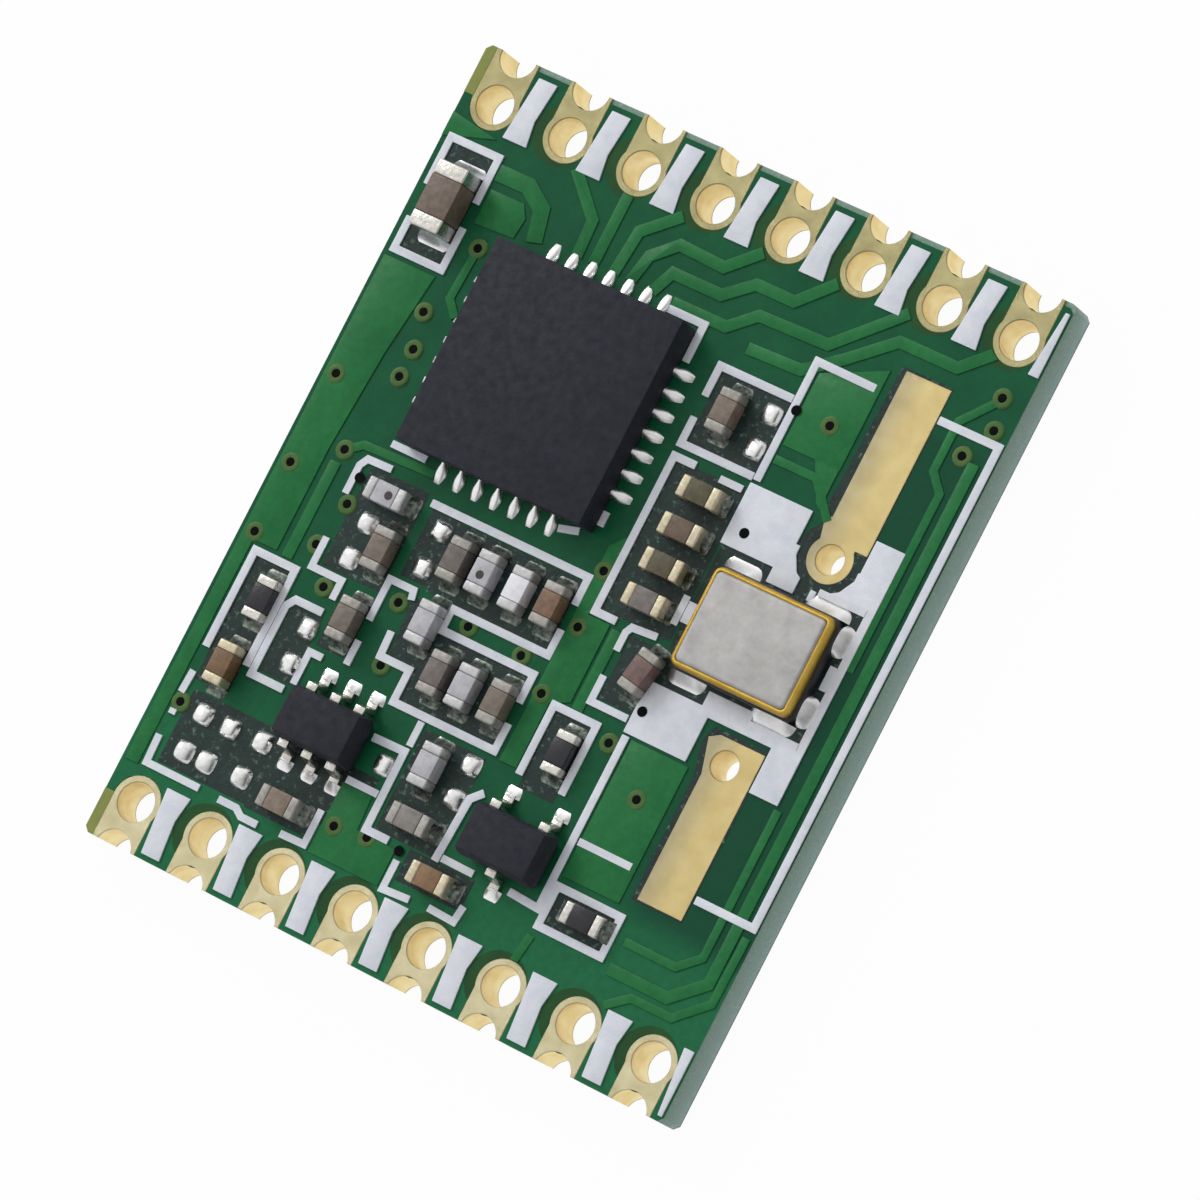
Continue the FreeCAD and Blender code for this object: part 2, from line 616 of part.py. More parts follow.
def crystal():
    """Ceramic base, gold seal ring and metal lid, from the board up."""
    base_top = BOARD_THICKNESS + CRYSTAL_BASE_HEIGHT
    seal_top = base_top + SEAL_HEIGHT
    lid_top = base_top + LID_THICKNESS
    base = chamfered_block(CRYSTAL_LENGTH, CRYSTAL_WIDTH, CRYSTAL_CORNER_CUT, BOARD_THICKNESS, base_top)
    seal_size = [side - 2 * SEAL_MARGIN for side in (CRYSTAL_LENGTH, CRYSTAL_WIDTH)]
    inner_size = [side - 2 * SEAL_WIDTH for side in seal_size]
    lid_size = [side - 2 * LID_MARGIN for side in inner_size]
    ring = chamfered_block(*seal_size, CRYSTAL_CORNER_CUT, base_top, seal_top)
    opening = chamfered_block(*inner_size, CRYSTAL_CORNER_CUT / 2, base_top, seal_top)
    lid = chamfered_block(*lid_size, CRYSTAL_CORNER_CUT / 2, base_top, lid_top)
    return [placed(shape, *CRYSTAL_PLACE) for shape in (base, ring.cut(opening), lid)]


def crystal_solder():
    """Four corner joints: a strip of solder along each end of both long sides."""
    joints = []
    for way_x in (1, -1):
        for way_y in (1, -1):
            wedge = fillet_wedge(CRYSTAL_JOINT_REACH, CRYSTAL_JOINT_HEIGHT, CRYSTAL_JOINT_LENGTH)
            wedge.translate(V(CRYSTAL_WIDTH / 2, 0, 0))
            wedge = placed(wedge, 0, 0, 90 * way_y)
            shift = way_x * (CRYSTAL_LENGTH - CRYSTAL_JOINT_LENGTH) / 2
            joints.append(placed(wedge, CRYSTAL_PLACE[0] + shift, CRYSTAL_PLACE[1]))
    return joints


def leaded_body(place):
    """A moulded body whose upper and lower halves taper from the parting line."""
    low = BOARD_THICKNESS + SOT_STANDOFF
    middle = BOARD_THICKNESS + SOT_LEAD_LEVEL
    high = BOARD_THICKNESS + SOT_STANDOFF + SOT_BODY_HEIGHT

    def outline(inset, z):
        half_x, half_y = SOT_LENGTH / 2 - inset, SOT_WIDTH / 2 - inset
        signs = ((-1, -1), (1, -1), (1, 1), (-1, 1))
        corners = [V(i * half_x, j * half_y, z) for i, j in signs]
        return Part.makePolygon(corners + corners[:1])

    lower = Part.makeLoft([outline(SOT_DRAFT, low), outline(0, middle)], True, True)
    upper = Part.makeLoft([outline(0, middle), outline(SOT_DRAFT, high)], True, True)
    return placed(united([lower, upper]), *place)


def gull_lead(offset, way, place, body):
    """A bent lead: flat at the body, down to the board and out to a foot."""
    start = SOT_WIDTH / 2 - SOT_DRAFT
    tip = SOT_WIDTH / 2 + SOT_REACH
    bend = tip - SOT_FOOT
    shoulder = SOT_WIDTH / 2 + SOT_SHOULDER
    foot = BOARD_THICKNESS
    level = BOARD_THICKNESS + SOT_LEAD_LEVEL
    t = SOT_LEAD_THICKNESS
    profile = [
        (start, level), (shoulder - t / 4, level), (bend - t / 2, foot), (tip, foot),
        (tip, foot + t), (bend + t / 2, foot + t), (shoulder + t / 2, level + t), (start, level + t),
    ]
    points = [V(offset - SOT_LEAD_WIDTH / 2, y, z) for y, z in profile]
    lead = Part.Face(Part.makePolygon(points + points[:1])).extrude(V(SOT_LEAD_WIDTH, 0, 0))
    return placed(placed(lead, 0, 0, 0 if way > 0 else 180), *place).cut(body)


def leaded_solder(offset, way, place):
    wedge = fillet_wedge(SOT_JOINT_REACH, SOT_JOINT_HEIGHT, SOT_LEAD_WIDTH)
    wedge.translate(V(SOT_WIDTH / 2 + SOT_REACH, 0, 0))
    wedge = placed(wedge, 0, 0, 90 * way)
    return placed(wedge, place[0] + offset, place[1])


def bare_land(x, y):
    """A square land with a low pillow of solder whose sides lean in."""
    half, top = BARE_LAND_SIDE / 2, BARE_LAND_SIDE / 2 - BARE_LAND_SLOPE
    low, high = BOARD_THICKNESS, BOARD_THICKNESS + BARE_LAND_HEIGHT
    pillow = Part.makeWedge(-half, low, -half, -top, -top, half, high, half, top, top)
    pillow.rotate(V(0, 0, 0), V(1, 0, 0), 90)
    return placed(pillow, x, y)


def build():
    """Every piece of the module by the name of its node."""
    nodes = {}
    joints, terminals = [], []
    for places in (CAPACITOR_PLACES, INDUCTOR_PLACES, RESISTOR_PLACES):
        for name, x, y, turn in places:
            body, ends, solder = chip_part(name, x, y, turn)
            nodes[name] = body
            terminals += ends
            joints += solder
    chip_names = list(nodes)
    nodes["chip_terminals"] = Part.makeCompound(terminals)

    nodes["transceiver_body"] = chip_body()
    nodes["transceiver_leads"] = Part.makeCompound(chip_leads())
    nodes["transceiver_heat_pad"] = chip_heat_pad()
    nodes["transceiver_solder"] = Part.makeCompound(chip_toes())

    nodes["crystal_base"], nodes["crystal_seal_ring"], nodes["crystal_lid"] = crystal()
    joints += crystal_solder()

    six = [(offset, way) for offset in (-SOT_PITCH, 0, SOT_PITCH) for way in (1, -1)]
    three = [(-SOT_PITCH, 1), (SOT_PITCH, 1), (0, -1)]
    leaded = (("rf_switch", SWITCH_PLACE, six), ("transistor", TRANSISTOR_PLACE, three))
    for name, place, feet in leaded:
        body = leaded_body(place)
        leads = [gull_lead(offset, way, place, body) for offset, way in feet]
        nodes[name + "_body"] = body
        nodes[name + "_leads"] = Part.makeCompound(leads)
        joints += [leaded_solder(offset, way, place) for offset, way in feet]

    nodes["part_solder"] = Part.makeCompound(joints)
    nodes["bare_land_solder"] = Part.makeCompound([bare_land(x, y) for x, y in BARE_LAND_PLACES])

    upper, lower = bars()
    nodes["crystal_land_upper"], nodes["crystal_land_lower"] = upper, lower
    nodes["laminate"] = laminate()
    nodes["solder_mask_top"] = mask_top(upper, lower)
    nodes["solder_mask_bottom"] = mask_bottom()
    nodes["edge_pads_upper"] = pad_row(UPPER_ROW, 1)
    nodes["edge_pads_lower"] = pad_row(LOWER_ROW, -1)
    standing = [nodes[name] for name in chip_names] + terminals
    solder = joints + chip_toes() + [bare_land(x, y) for x, y in BARE_LAND_PLACES]
    ink = silkscreen(solder + standing)
    nodes["silkscreen"] = ink
    nodes["raised_tracks"] = raised_tracks(solder + standing + ink.Solids)
    return nodes


for node, shape in build().items():
    shape.exportStep(f"parts/{node}.step")
    print(node, len(shape.Solids), round(shape.Volume, 4), shape.isValid())
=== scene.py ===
import bpy
import bmesh
import math
import random
from mathutils import Matrix, Vector
from mathutils.geometry import tessellate_polygon


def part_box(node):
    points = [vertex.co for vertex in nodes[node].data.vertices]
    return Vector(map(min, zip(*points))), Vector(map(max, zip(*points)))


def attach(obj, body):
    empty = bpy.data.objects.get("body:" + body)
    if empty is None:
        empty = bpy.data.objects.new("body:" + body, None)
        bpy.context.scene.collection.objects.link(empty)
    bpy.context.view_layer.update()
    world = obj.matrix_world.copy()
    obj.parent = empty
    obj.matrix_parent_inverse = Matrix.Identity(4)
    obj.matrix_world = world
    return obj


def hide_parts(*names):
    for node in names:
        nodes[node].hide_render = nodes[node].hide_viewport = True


# Looks of a small radio transceiver module. Metres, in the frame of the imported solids:
# the board lies on the floor, its underside at z = 0 and its fitted face 1 mm above it.

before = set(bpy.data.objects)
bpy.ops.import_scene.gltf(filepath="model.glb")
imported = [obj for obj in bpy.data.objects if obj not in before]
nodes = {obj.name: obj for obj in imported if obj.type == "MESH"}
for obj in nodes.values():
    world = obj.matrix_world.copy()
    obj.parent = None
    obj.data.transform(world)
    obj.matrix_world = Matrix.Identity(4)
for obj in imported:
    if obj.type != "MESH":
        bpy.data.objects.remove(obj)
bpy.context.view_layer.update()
scene = bpy.context.scene
MM = 0.001

# Height of the coat's upper face in mm
TOP = 1.0
# Vertices closer than the first, in metres, are one, and so are outline points closer than the
# second, in mm
MERGE, SAME_PLACE = 1e-8, 1e-6
# Turns in degrees: solids are rounded at edges above the first. Edges above the second stay
# crisp on drawn forms, and edges above the third on rounded ones
ROUNDED_FROM, CRISP_FROM, SOFT_CRISP_FROM = 25, 30, 40

# The two tones of each chip capacitor's body
CAPACITOR_COLOURS = {
    "capacitor_input": ((122, 106, 94), (98, 84, 74)),
    "capacitor_supply": ((132, 118, 104), (106, 94, 84)),
    "capacitor_bypass_1": ((92, 86, 58), (70, 66, 44)),
    "capacitor_bypass_2": ((112, 92, 74), (88, 72, 58)),
    "capacitor_bypass_3": ((90, 84, 60), (70, 66, 46)),
    "capacitor_bypass_4": ((128, 122, 118), (104, 98, 94)),
    "capacitor_filter_1": ((128, 114, 104), (104, 92, 84)),
    "capacitor_filter_2": ((126, 114, 104), (102, 92, 84)),
    "capacitor_filter_3": ((118, 110, 104), (96, 88, 82)),
    "capacitor_filter_4": ((136, 104, 82), (112, 84, 66)),
    "capacitor_filter_5": ((122, 114, 110), (100, 92, 88)),
    "capacitor_filter_6": ((126, 116, 104), (104, 94, 84)),
    "capacitor_match_1": ((142, 138, 132), (118, 112, 106)),
    "capacitor_match_2": ((142, 108, 76), (116, 88, 60)),
    "capacitor_match_3": ((140, 124, 108), (116, 102, 88)),
    "capacitor_match_4": ((128, 98, 66), (102, 78, 52)),
    "capacitor_crystal": ((124, 98, 92), (100, 78, 74)),
}
INDUCTORS = ["inductor_choke", "inductor_match"] + [f"inductor_filter_{i}" for i in range(1, 5)]
BRIGHT_INDUCTOR = "inductor_filter_2"
RESISTORS = [f"resistor_{i}" for i in range(1, 4)]
CHIP_PARTS = list(CAPACITOR_COLOURS) + INDUCTORS + RESISTORS
LARGE_PART = "capacitor_input"
# Parts whose two ends lie along X, and the one that sits askew, with its turn in degrees
LEVEL_PARTS = ["capacitor_match_1", "capacitor_match_2", "capacitor_match_3", "inductor_choke",
               "resistor_3"] + [f"capacitor_bypass_{i}" for i in range(1, 5)]
ASKEW_PART, ASKEW_TURN = "capacitor_crystal", 80


def tone(rgb):
    """A colour written as it looks, 0 to 255, as the linear values that shaders take."""
    out = []
    for level in rgb:
        c = level / 255
        out.append(c / 12.92 if c <= 0.04045 else ((c + 0.055) / 1.055) ** 2.4)
    return (*out, 1.0)


def worked_out(tree, operation, a, b):
    """The output of a Math node. b is a number or another output."""
    node = tree.nodes.new("ShaderNodeMath")
    node.operation = operation
    tree.links.new(a, node.inputs[0])
    if isinstance(b, (int, float)):
        node.inputs[1].default_value = b
    else:
        tree.links.new(b, node.inputs[1])
    return node.outputs[0]


def ranged(tree, value, low, high, a, b):
    """The output of a Map Range node that takes a to low and b to high."""
    node = tree.nodes.new("ShaderNodeMapRange")
    tree.links.new(value, node.inputs["Value"])
    for socket, level in (("From Min", a), ("From Max", b), ("To Min", low), ("To Max", high)):
        node.inputs[socket].default_value = level
    return node.outputs["Result"]


class Shader:
    """A material whose colour, roughness and bump come from nodes in object space."""

    def __init__(self, name, metallic=0.0, specular=0.5):
        self.material = bpy.data.materials.new(name)
        self.material.use_nodes = True
        self.tree = self.material.node_tree
        self.shader = self.tree.nodes["Principled BSDF"]
        self.shader.inputs["Metallic"].default_value = metallic
        self.shader.inputs["Specular IOR Level"].default_value = specular
        self.place = self.tree.nodes.new("ShaderNodeTexCoord").outputs["Object"]

    def link(self, a, b):
        self.tree.links.new(a, b)

    def stretched(self, scale):
        node = self.tree.nodes.new("ShaderNodeMapping")
        node.inputs["Scale"].default_value = scale
        self.link(self.place, node.inputs["Vector"])
        return node.outputs["Vector"]

    def along(self, axis):
        node = self.tree.nodes.new("ShaderNodeSeparateXYZ")
        self.link(self.place, node.inputs[0])
        return node.outputs[axis]

    def sized(self, value, operation="ABSOLUTE", other=1.0):
        return worked_out(self.tree, operation, value, other)

    def noise(self, size_mm, detail=3.0, rough=0.55, place=None):
        node = self.tree.nodes.new("ShaderNodeTexNoise")
        node.inputs["Scale"].default_value = 1.0 / (size_mm * MM)
        node.inputs["Detail"].default_value = detail
        node.inputs["Roughness"].default_value = rough
        self.link(place or self.place, node.inputs["Vector"])
        return node.outputs["Fac"]

    def spread(self, value, low, high, a=0.3, b=0.7):
        """A value that goes from low to high while the first one goes from a to b."""
        return ranged(self.tree, value, low, high, a, b)

    def band(self, axis, low, high, near_mm, far_mm):
        """A value that goes from low to high between two places on an axis."""
        return self.spread(self.along(axis), low, high, near_mm * MM, far_mm * MM)

    def mix(self, share, a, b):
        node = self.tree.nodes.new("ShaderNodeMix")
        node.data_type = "RGBA"
        self.link(share, node.inputs["Factor"])
        for socket, colour in ((node.inputs["A"], a), (node.inputs["B"], b)):
            if isinstance(colour, tuple):
                socket.default_value = tone(colour)
            else:
                self.link(colour, socket)
        return node.outputs["Result"]

    def colour(self, value):
        self.link(value, self.shader.inputs["Base Color"])

    def roughness(self, value, low, high):
        self.link(self.spread(value, low, high), self.shader.inputs["Roughness"])

    def bump(self, value, depth_mm):
        node = self.tree.nodes.new("ShaderNodeBump")
        node.inputs["Distance"].default_value = depth_mm * MM
        self.link(value, node.inputs["Height"])
        self.link(node.outputs["Normal"], self.shader.inputs["Normal"])


def mottled(name, a, b, size, rough, bump_size, bump_depth, **more):
    """A finish that wanders between two colours, with its own roughness and bump."""
    s = Shader(name, **more)
    s.colour(s.mix(s.spread(s.noise(size), 0, 1), a, b))
    s.roughness(s.noise(size * 0.6, 4.0), *rough)
    s.bump(s.noise(bump_size, 4.0), bump_depth)
    return s.material


def laminate_look():
    """Sawn glass cloth: fine level layers with a few paler fibres."""
    s = Shader("glass_laminate_look", specular=0.35)
    layers = s.noise(1.0, 5.0, 0.65, s.stretched((700, 700, 9000)))
    fibres = s.noise(0.08, 3.0, 0.6)
    base = s.mix(s.band("Z", 0, 1, 0.02, 0.4), (202, 230, 228), (166, 194, 184))
    base = s.mix(s.band("Z", 0, 1, 0.45, 0.98), base, (136, 166, 148))
    streaks = s.mix(s.spread(layers, 0, 0.5, 0.42, 0.62), base, (118, 142, 134))
    s.colour(s.mix(s.spread(fibres, 0, 0.4, 0.5, 0.75), streaks, (214, 222, 216)))
    s.roughness(fibres, 0.65, 0.9)
    s.bump(layers, 0.012)
    return s.material


# Where the coat's tone changes, in mm, each change as its two ends: towards the lower end of the
# board in Y, towards its right side in X, and from the middle in Y, either way
LOWER_END, BESIDE_X, BESIDE_Y = (-7.0, -5.2), (4.4, 5.2), (5.9, 6.4)


def mask_look(name, dark, light, ends=None, bare=None):
    """Glossy green coat with a faint orange-peel surface and cloudy depth.

    It can take the tone ends towards the lower end of the board, and the tone bare where no
    copper lies beneath it, round the long lands.
    """
    s = Shader(name, specular=0.14)
    cloud = s.noise(1.1, 3.0)
    fine = s.noise(0.16, 3.0)
    base = s.mix(s.spread(cloud, 0, 1), dark, light)
    if ends:
        off = s.sized(s.along("Y"))
        base = s.mix(s.band("Y", 1, 0, *LOWER_END), base, ends)
        beside = s.sized(s.band("X", 0, 1, *BESIDE_X), "MULTIPLY",
                         s.spread(off, 1, 0, BESIDE_Y[0] * MM, BESIDE_Y[1] * MM))
        base = s.mix(beside, base, bare)
    s.colour(s.mix(s.spread(fine, 0, 0.25), base, (10, 60, 36)))
    s.roughness(fine, 0.3, 0.45)
    s.bump(s.noise(0.22, 3.0), 0.006)
    return s.material


def dark_board_and_shade_look():
    """Dark board between the parts, partly bare board where the coat is open and partly painted
    shade, with small pale specks as painted glints.
    """
    s = Shader("dark_board_and_shade_look", specular=0.3)
    base = s.mix(s.spread(s.noise(0.5), 0, 1), (28, 52, 46), (18, 36, 34))
    s.colour(s.mix(s.spread(s.noise(0.14, 4.0, 0.6), 0, 0.9, 0.58, 0.72), base, (96, 122, 108)))
    s.roughness(s.noise(0.16), 0.25, 0.5)
    s.bump(s.noise(0.12, 4.0), 0.012)
    return s.material


def gold_look(name, pale, deep, mark, far=None):
    """Thin soft gold on copper, a little cloudy, with fine rolling marks along the board.

    far names an axis, two places on it in mm and the pair of tones that it has at the second. On the
    crystal bars these paler tones towards their right side are a painted highlight.
    """
    s = Shader(name, metallic=1.0)
    cloud = s.noise(0.5, 4.0)
    marks = s.noise(1.0, 4.0, 0.6, s.stretched((9000, 1400, 4000)))
    base = s.mix(s.spread(cloud, 0, 1), pale, deep)
    if far:
        axis, near_mm, far_mm, far_pale, far_deep = far
        there = s.mix(s.spread(cloud, 0, 1), far_pale, far_deep)
        base = s.mix(s.band(axis, 0, 1, near_mm, far_mm), base, there)
    s.colour(s.mix(s.spread(marks, 0, 0.35, 0.5, 0.8), base, mark))
    s.roughness(cloud, 0.32, 0.5)
    s.bump(marks, 0.006)
    return s.material


def lid_look():
    """Plain nickel lid: warm grey with faint darker blotches and a fine grain."""
    s = Shader("lid_metal_look", metallic=0.75)
    blotch = s.noise(0.45, 5.0, 0.65)
    grain = s.noise(1.0, 4.0, 0.6, s.stretched((2600, 14000, 4000)))
    base = s.mix(s.spread(blotch, 0, 1), (184, 182, 180), (158, 156, 154))
    s.colour(s.mix(s.spread(grain, 0, 0.3, 0.5, 0.8), base, (150, 146, 142)))
    s.roughness(grain, 0.38, 0.55)
    s.bump(grain, 0.004)
    return s.material


# The floor's colour, and how much of it is glow where it is seen straight or by reflection
PAPER, PAPER_GLOW = (0.85, 0.85, 0.85, 1), 0.96


def lit_floor():
    """Pale floor that reads as white to the eye and in reflections, and keeps a soft shadow."""
    material = bpy.data.materials.new("floor_look")
    material.use_nodes = True
    tree = material.node_tree
    tree.nodes.clear()
    paper = tree.nodes.new("ShaderNodeBsdfDiffuse")
    paper.inputs["Color"].default_value = PAPER
    glow = tree.nodes.new("ShaderNodeEmission")
    rays = tree.nodes.new("ShaderNodeLightPath").outputs
    seen = worked_out(tree, "MAXIMUM", rays["Is Camera Ray"], rays["Is Glossy Ray"])
    seen = worked_out(tree, "MAXIMUM", seen, rays["Is Transmission Ray"])
    mixer = tree.nodes.new("ShaderNodeMixShader")
    tree.links.new(worked_out(tree, "MULTIPLY", seen, PAPER_GLOW), mixer.inputs[0])
    tree.links.new(paper.outputs[0], mixer.inputs[1])
    tree.links.new(glow.outputs[0], mixer.inputs[2])
    out = tree.nodes.new("ShaderNodeOutputMaterial")
    tree.links.new(mixer.outputs[0], out.inputs["Surface"])
    return material


LOOKS = {
    "laminate": laminate_look(),
    "mask": mask_look("green_mask_look", (20, 96, 60), (14, 84, 54), (30, 110, 70), (14, 76, 52)),
    "under_mask": mask_look("green_mask_below_look", (22, 98, 62), (16, 86, 56)),
    "copper": mask_look("green_mask_over_copper_look", (44, 124, 68), (34, 112, 62)),
    "ink": mottled("white_ink_look", (228, 231, 238), (214, 218, 228), 0.3, (0.55, 0.75), 0.05, 0.008,
                   specular=0.25),
    # The crystal bars' gold turns paler towards their right side in X: a painted highlight.
    "gold": gold_look("gold_plate_with_painted_highlight_look", (176, 166, 134), (168, 158, 126), (178, 158, 108),
                      ("X", 4.95, 5.6, (206, 188, 134), (200, 180, 124))),
    "pad_gold": gold_look("pad_gold_look", (208, 200, 164), (192, 182, 144), (168, 152, 104),
                          ("Y", -7.5, 7.5, (176, 167, 124), (158, 150, 110))),
    # The hole and notch linings are the same plating as the pads, painted much brighter: a painted
    # highlight on their walls.
    "bright_painted_lining": gold_look("bright_painted_lining_look", (252, 234, 176), (240, 216, 150), (226, 198, 128)),
    "seal_gold": gold_look("seal_gold_look", (226, 190, 92), (206, 166, 68), (180, 140, 50)),
    "lid": lid_look(),
    "moulding": mottled("moulding_compound_look", (34, 36, 47), (27, 29, 39), 0.35, (0.6, 0.8),
                        0.045, 0.008, specular=0.35),
    "dark_ceramic": mottled("dark_ceramic_look", (38, 36, 42), (28, 27, 32), 0.3, (0.4, 0.6),
                            0.05, 0.006),
    "inductor": mottled("inductor_ceramic_look", (194, 193, 199), (168, 169, 175), 0.2, (0.35, 0.55),
                        0.06, 0.006),
    "resistor": mottled("resistor_film_look", (26, 26, 34), (18, 18, 26), 0.2, (0.25, 0.45),
                        0.08, 0.004),
    "tin": mottled("tinned_terminal_look", (222, 220, 214), (196, 192, 184), 0.12, (0.22, 0.42),
                   0.1, 0.012, metallic=1.0),
    "solder": mottled("solder_look", (250, 250, 250), (230, 230, 228), 0.1, (0.12, 0.28),
                      0.2, 0.014, metallic=1.0),
    "bright_inductor": mottled("bright_inductor_look", (244, 243, 248), (222, 221, 228), 0.2,
                               (0.35, 0.55), 0.06, 0.006),
    "dark_board_and_shade": dark_board_and_shade_look(),
    "edge_gold": mottled("thin_mask_over_gold_look", (142, 146, 72), (120, 134, 66), 0.4, (0.3, 0.5),
                         0.1, 0.006, specular=0.3),
    "cream_tin": mottled("cream_terminal_look", (218, 208, 180), (190, 178, 150), 0.12, (0.3, 0.5),
                         0.1, 0.01, metallic=0.6),
    "dull_tin": mottled("dull_terminal_look", (176, 172, 166), (144, 140, 134), 0.14, (0.35, 0.55),
                        0.1, 0.01, metallic=0.5),
    "pale_tin": mottled("pale_terminal_look", (206, 205, 206), (180, 179, 180), 0.14, (0.35, 0.55),
                        0.1, 0.01, metallic=0.5),
    "bright_joint": mottled("bright_joint_look", (255, 255, 255), (246, 246, 246), 0.1, (0.3, 0.42),
                            0.3, 0.004, metallic=1.0),
    # Solder at the chip parts' ends, painted dark green-grey with pale specks: a painted reflection
    # of the coat with painted glints.
    "joint_with_painted_reflection": mottled("joint_with_painted_reflection_look", (158, 164, 156), (54, 66, 60), 0.11, (0.25, 0.4),
                          0.14, 0.01, metallic=0.8),
    "pad_band": mask_look("pad_band_look", (44, 86, 44), (36, 74, 40)),
    "via_ring": mask_look("via_ring_look", (92, 118, 66), (76, 110, 58)),
    # Dark discs of painted shade that stand for the vias' holes
    "painted_via_shade": mottled("painted_via_shade_look", (14, 16, 14), (8, 10, 9), 0.1, (0.8, 0.95), 0.05, 0.004,
                        specular=0.1),
    "mark": mottled("inductor_mark_look", (60, 52, 52), (44, 38, 38), 0.08, (0.4, 0.6), 0.05, 0.003),
}


def dress(obj, look):
    """Gives an object one look in the place of all that it had."""
    obj.data.materials.clear()
    obj.data.materials.append(look)


def piece_from(name, mesh, look):
    """Puts a finished mesh in the scene as a piece of the module."""
    obj = bpy.data.objects.new(name, mesh)
    scene.collection.objects.link(obj)
    dress(obj, look)
    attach(obj, "root")
    return obj


def bevelled(bm, width_mm, segments):
    """Rounds the sharp edges of a loose solid, and first joins the faces that are level."""
    bmesh.ops.remove_doubles(bm, verts=bm.verts, dist=MERGE)
    bmesh.ops.dissolve_limit(bm, angle_limit=math.radians(1.5), verts=bm.verts, edges=bm.edges)
    sharp = math.radians(ROUNDED_FROM)
    edges = [e for e in bm.edges if e.is_manifold and e.calc_face_angle() > sharp]
    bmesh.ops.bevel(bm, geom=edges, offset=width_mm * MM, segments=segments, profile=0.6,
                    affect="EDGES", clamp_overlap=True)


def welded(node):
    """A solid's mesh with the vertices joined that its faces share."""
    bm = bmesh.new()
    bm.from_mesh(nodes[node].data)
    bmesh.ops.remove_doubles(bm, verts=bm.verts, dist=MERGE)
    return bm


def loose_parts(bm):
    """The vertices of a mesh, in groups that hang together."""
    seen = set()
    for first in bm.verts:
        if first in seen:
            continue
        seen.add(first)
        group = [first]
        for vert in group:
            for edge in vert.link_edges:
                other = edge.other_vert(vert)
                if other not in seen:
                    seen.add(other)
                    group.append(other)
        yield group


def softened(node, width_mm, look, segments=2, only=None, tail="soft"):
    """A copy of a solid, or of those of its parts that only() picks, with rounded edges."""
    whole = welded(node)
    joined = bmesh.new()
    for group in loose_parts(whole):
        middle = sum((v.co for v in group), Vector()) / len(group) / MM
        if only and not only(middle):
            continue
        part = bmesh.new()
        copies = {v: part.verts.new(v.co) for v in group}
        for face in dict.fromkeys(f for v in group for f in v.link_faces):
            part.faces.new([copies[v] for v in face.verts])
        bevelled(part, width_mm, segments)
        scratch = bpy.data.meshes.new("scratch")
        part.to_mesh(scratch)
        joined.from_mesh(scratch)
        bpy.data.meshes.remove(scratch)
        part.free()
    whole.free()
    mesh = bpy.data.meshes.new(f"{node}_{tail}")
    joined.to_mesh(mesh)
    joined.free()
    mesh.shade_smooth()
    mesh.set_sharp_from_angle(angle=math.radians(SOFT_CRISP_FROM))
    obj = piece_from(f"{node}_{tail}", mesh, look)
    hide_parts(node)


def terminal_look(middle):
    """The finish of a terminal, by the chip part that it belongs to."""
    def away(name):
        low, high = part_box(name)
        return ((low + high) / 2 / MM - middle).length

    name = min(CHIP_PARTS, key=away)
    if name in RESISTORS or name == LARGE_PART:
        return "tin"
    if "bypass" in name or name in ("capacitor_match_2", "capacitor_match_4"):
        return "cream_tin"
    return "pale_tin" if name in INDUCTORS else "dull_tin"


def vertex(bm, x, y, z):
    """A new vertex at a place in mm."""
    return bm.verts.new((x * MM, y * MM, z * MM))


def ring_at(bm, points, z):
    """New vertices at the points of an outline, all at one height in mm."""
    return [vertex(bm, x, y, z) for x, y in points]


def wall(bm, ring, next_ring):
    """Faces between two rings that have as many vertices."""
    for i in range(len(ring)):
        j = (i + 1) % len(ring)
        bm.faces.new((ring[i], ring[j], next_ring[j], next_ring[i]))


def sheet(bm, grid):
    """Faces over rows of vertices."""
    for row, next_row in zip(grid, grid[1:]):
        for j in range(len(row) - 1):
            bm.faces.new((row[j], next_row[j], next_row[j + 1], row[j + 1]))


def disc_mesh(bm, x, y, rings, turns=24):
    """An open turned form: rings are (radius, height) pairs in mm, from the middle out."""
    loops = [ring_at(bm, circle(x, y, radius, turns), height) for radius, height in rings]
    for inner, outer in zip(loops, loops[1:]):
        wall(bm, inner, outer)
    return loops


def formed(bm, name, look, sharp=CRISP_FROM):
    """Puts a drawn form in the scene as a piece. Edges that turn by more than sharp stay crisp."""
    bmesh.ops.recalc_face_normals(bm, faces=bm.faces)
    mesh = bpy.data.meshes.new(name)
    bm.to_mesh(mesh)
    bm.free()
    mesh.shade_smooth()
    if sharp:
        mesh.set_sharp_from_angle(angle=math.radians(sharp))
    return piece_from(name, mesh, LOOKS[look])


def rectangle(x0, y0, x1, y1):
    """The corners of a rectangle, from two that are opposite."""
    return [(x0, y0), (x1, y0), (x1, y1), (x0, y1)]


def placed(centre, turn, x, y):
    """A point of a form that is turned and stands at centre."""
    cos, sin = math.cos(turn), math.sin(turn)
    return centre[0] + x * cos - y * sin, centre[1] + x * sin + y * cos


def arc(x, y, r, start, end, steps):
    """Points of an arc, angles in degrees, both ends included."""
    turns = [math.radians(start + (end - start) * i / steps) for i in range(steps + 1)]
    return [(x + r * math.cos(t), y + r * math.sin(t)) for t in turns]


def circle(x, y, r, steps=48):
    return arc(x, y, r, 0, 360 - 360 / steps, steps - 1)


def flat_sided(x, y, r, sides):
    """The outline whose flat sides touch a circle from outside, as in the solids."""
    corner_r = r / math.cos(math.pi / sides)
    return arc(x, y, corner_r, 180 / sides, 360 - 180 / sides, sides - 1)


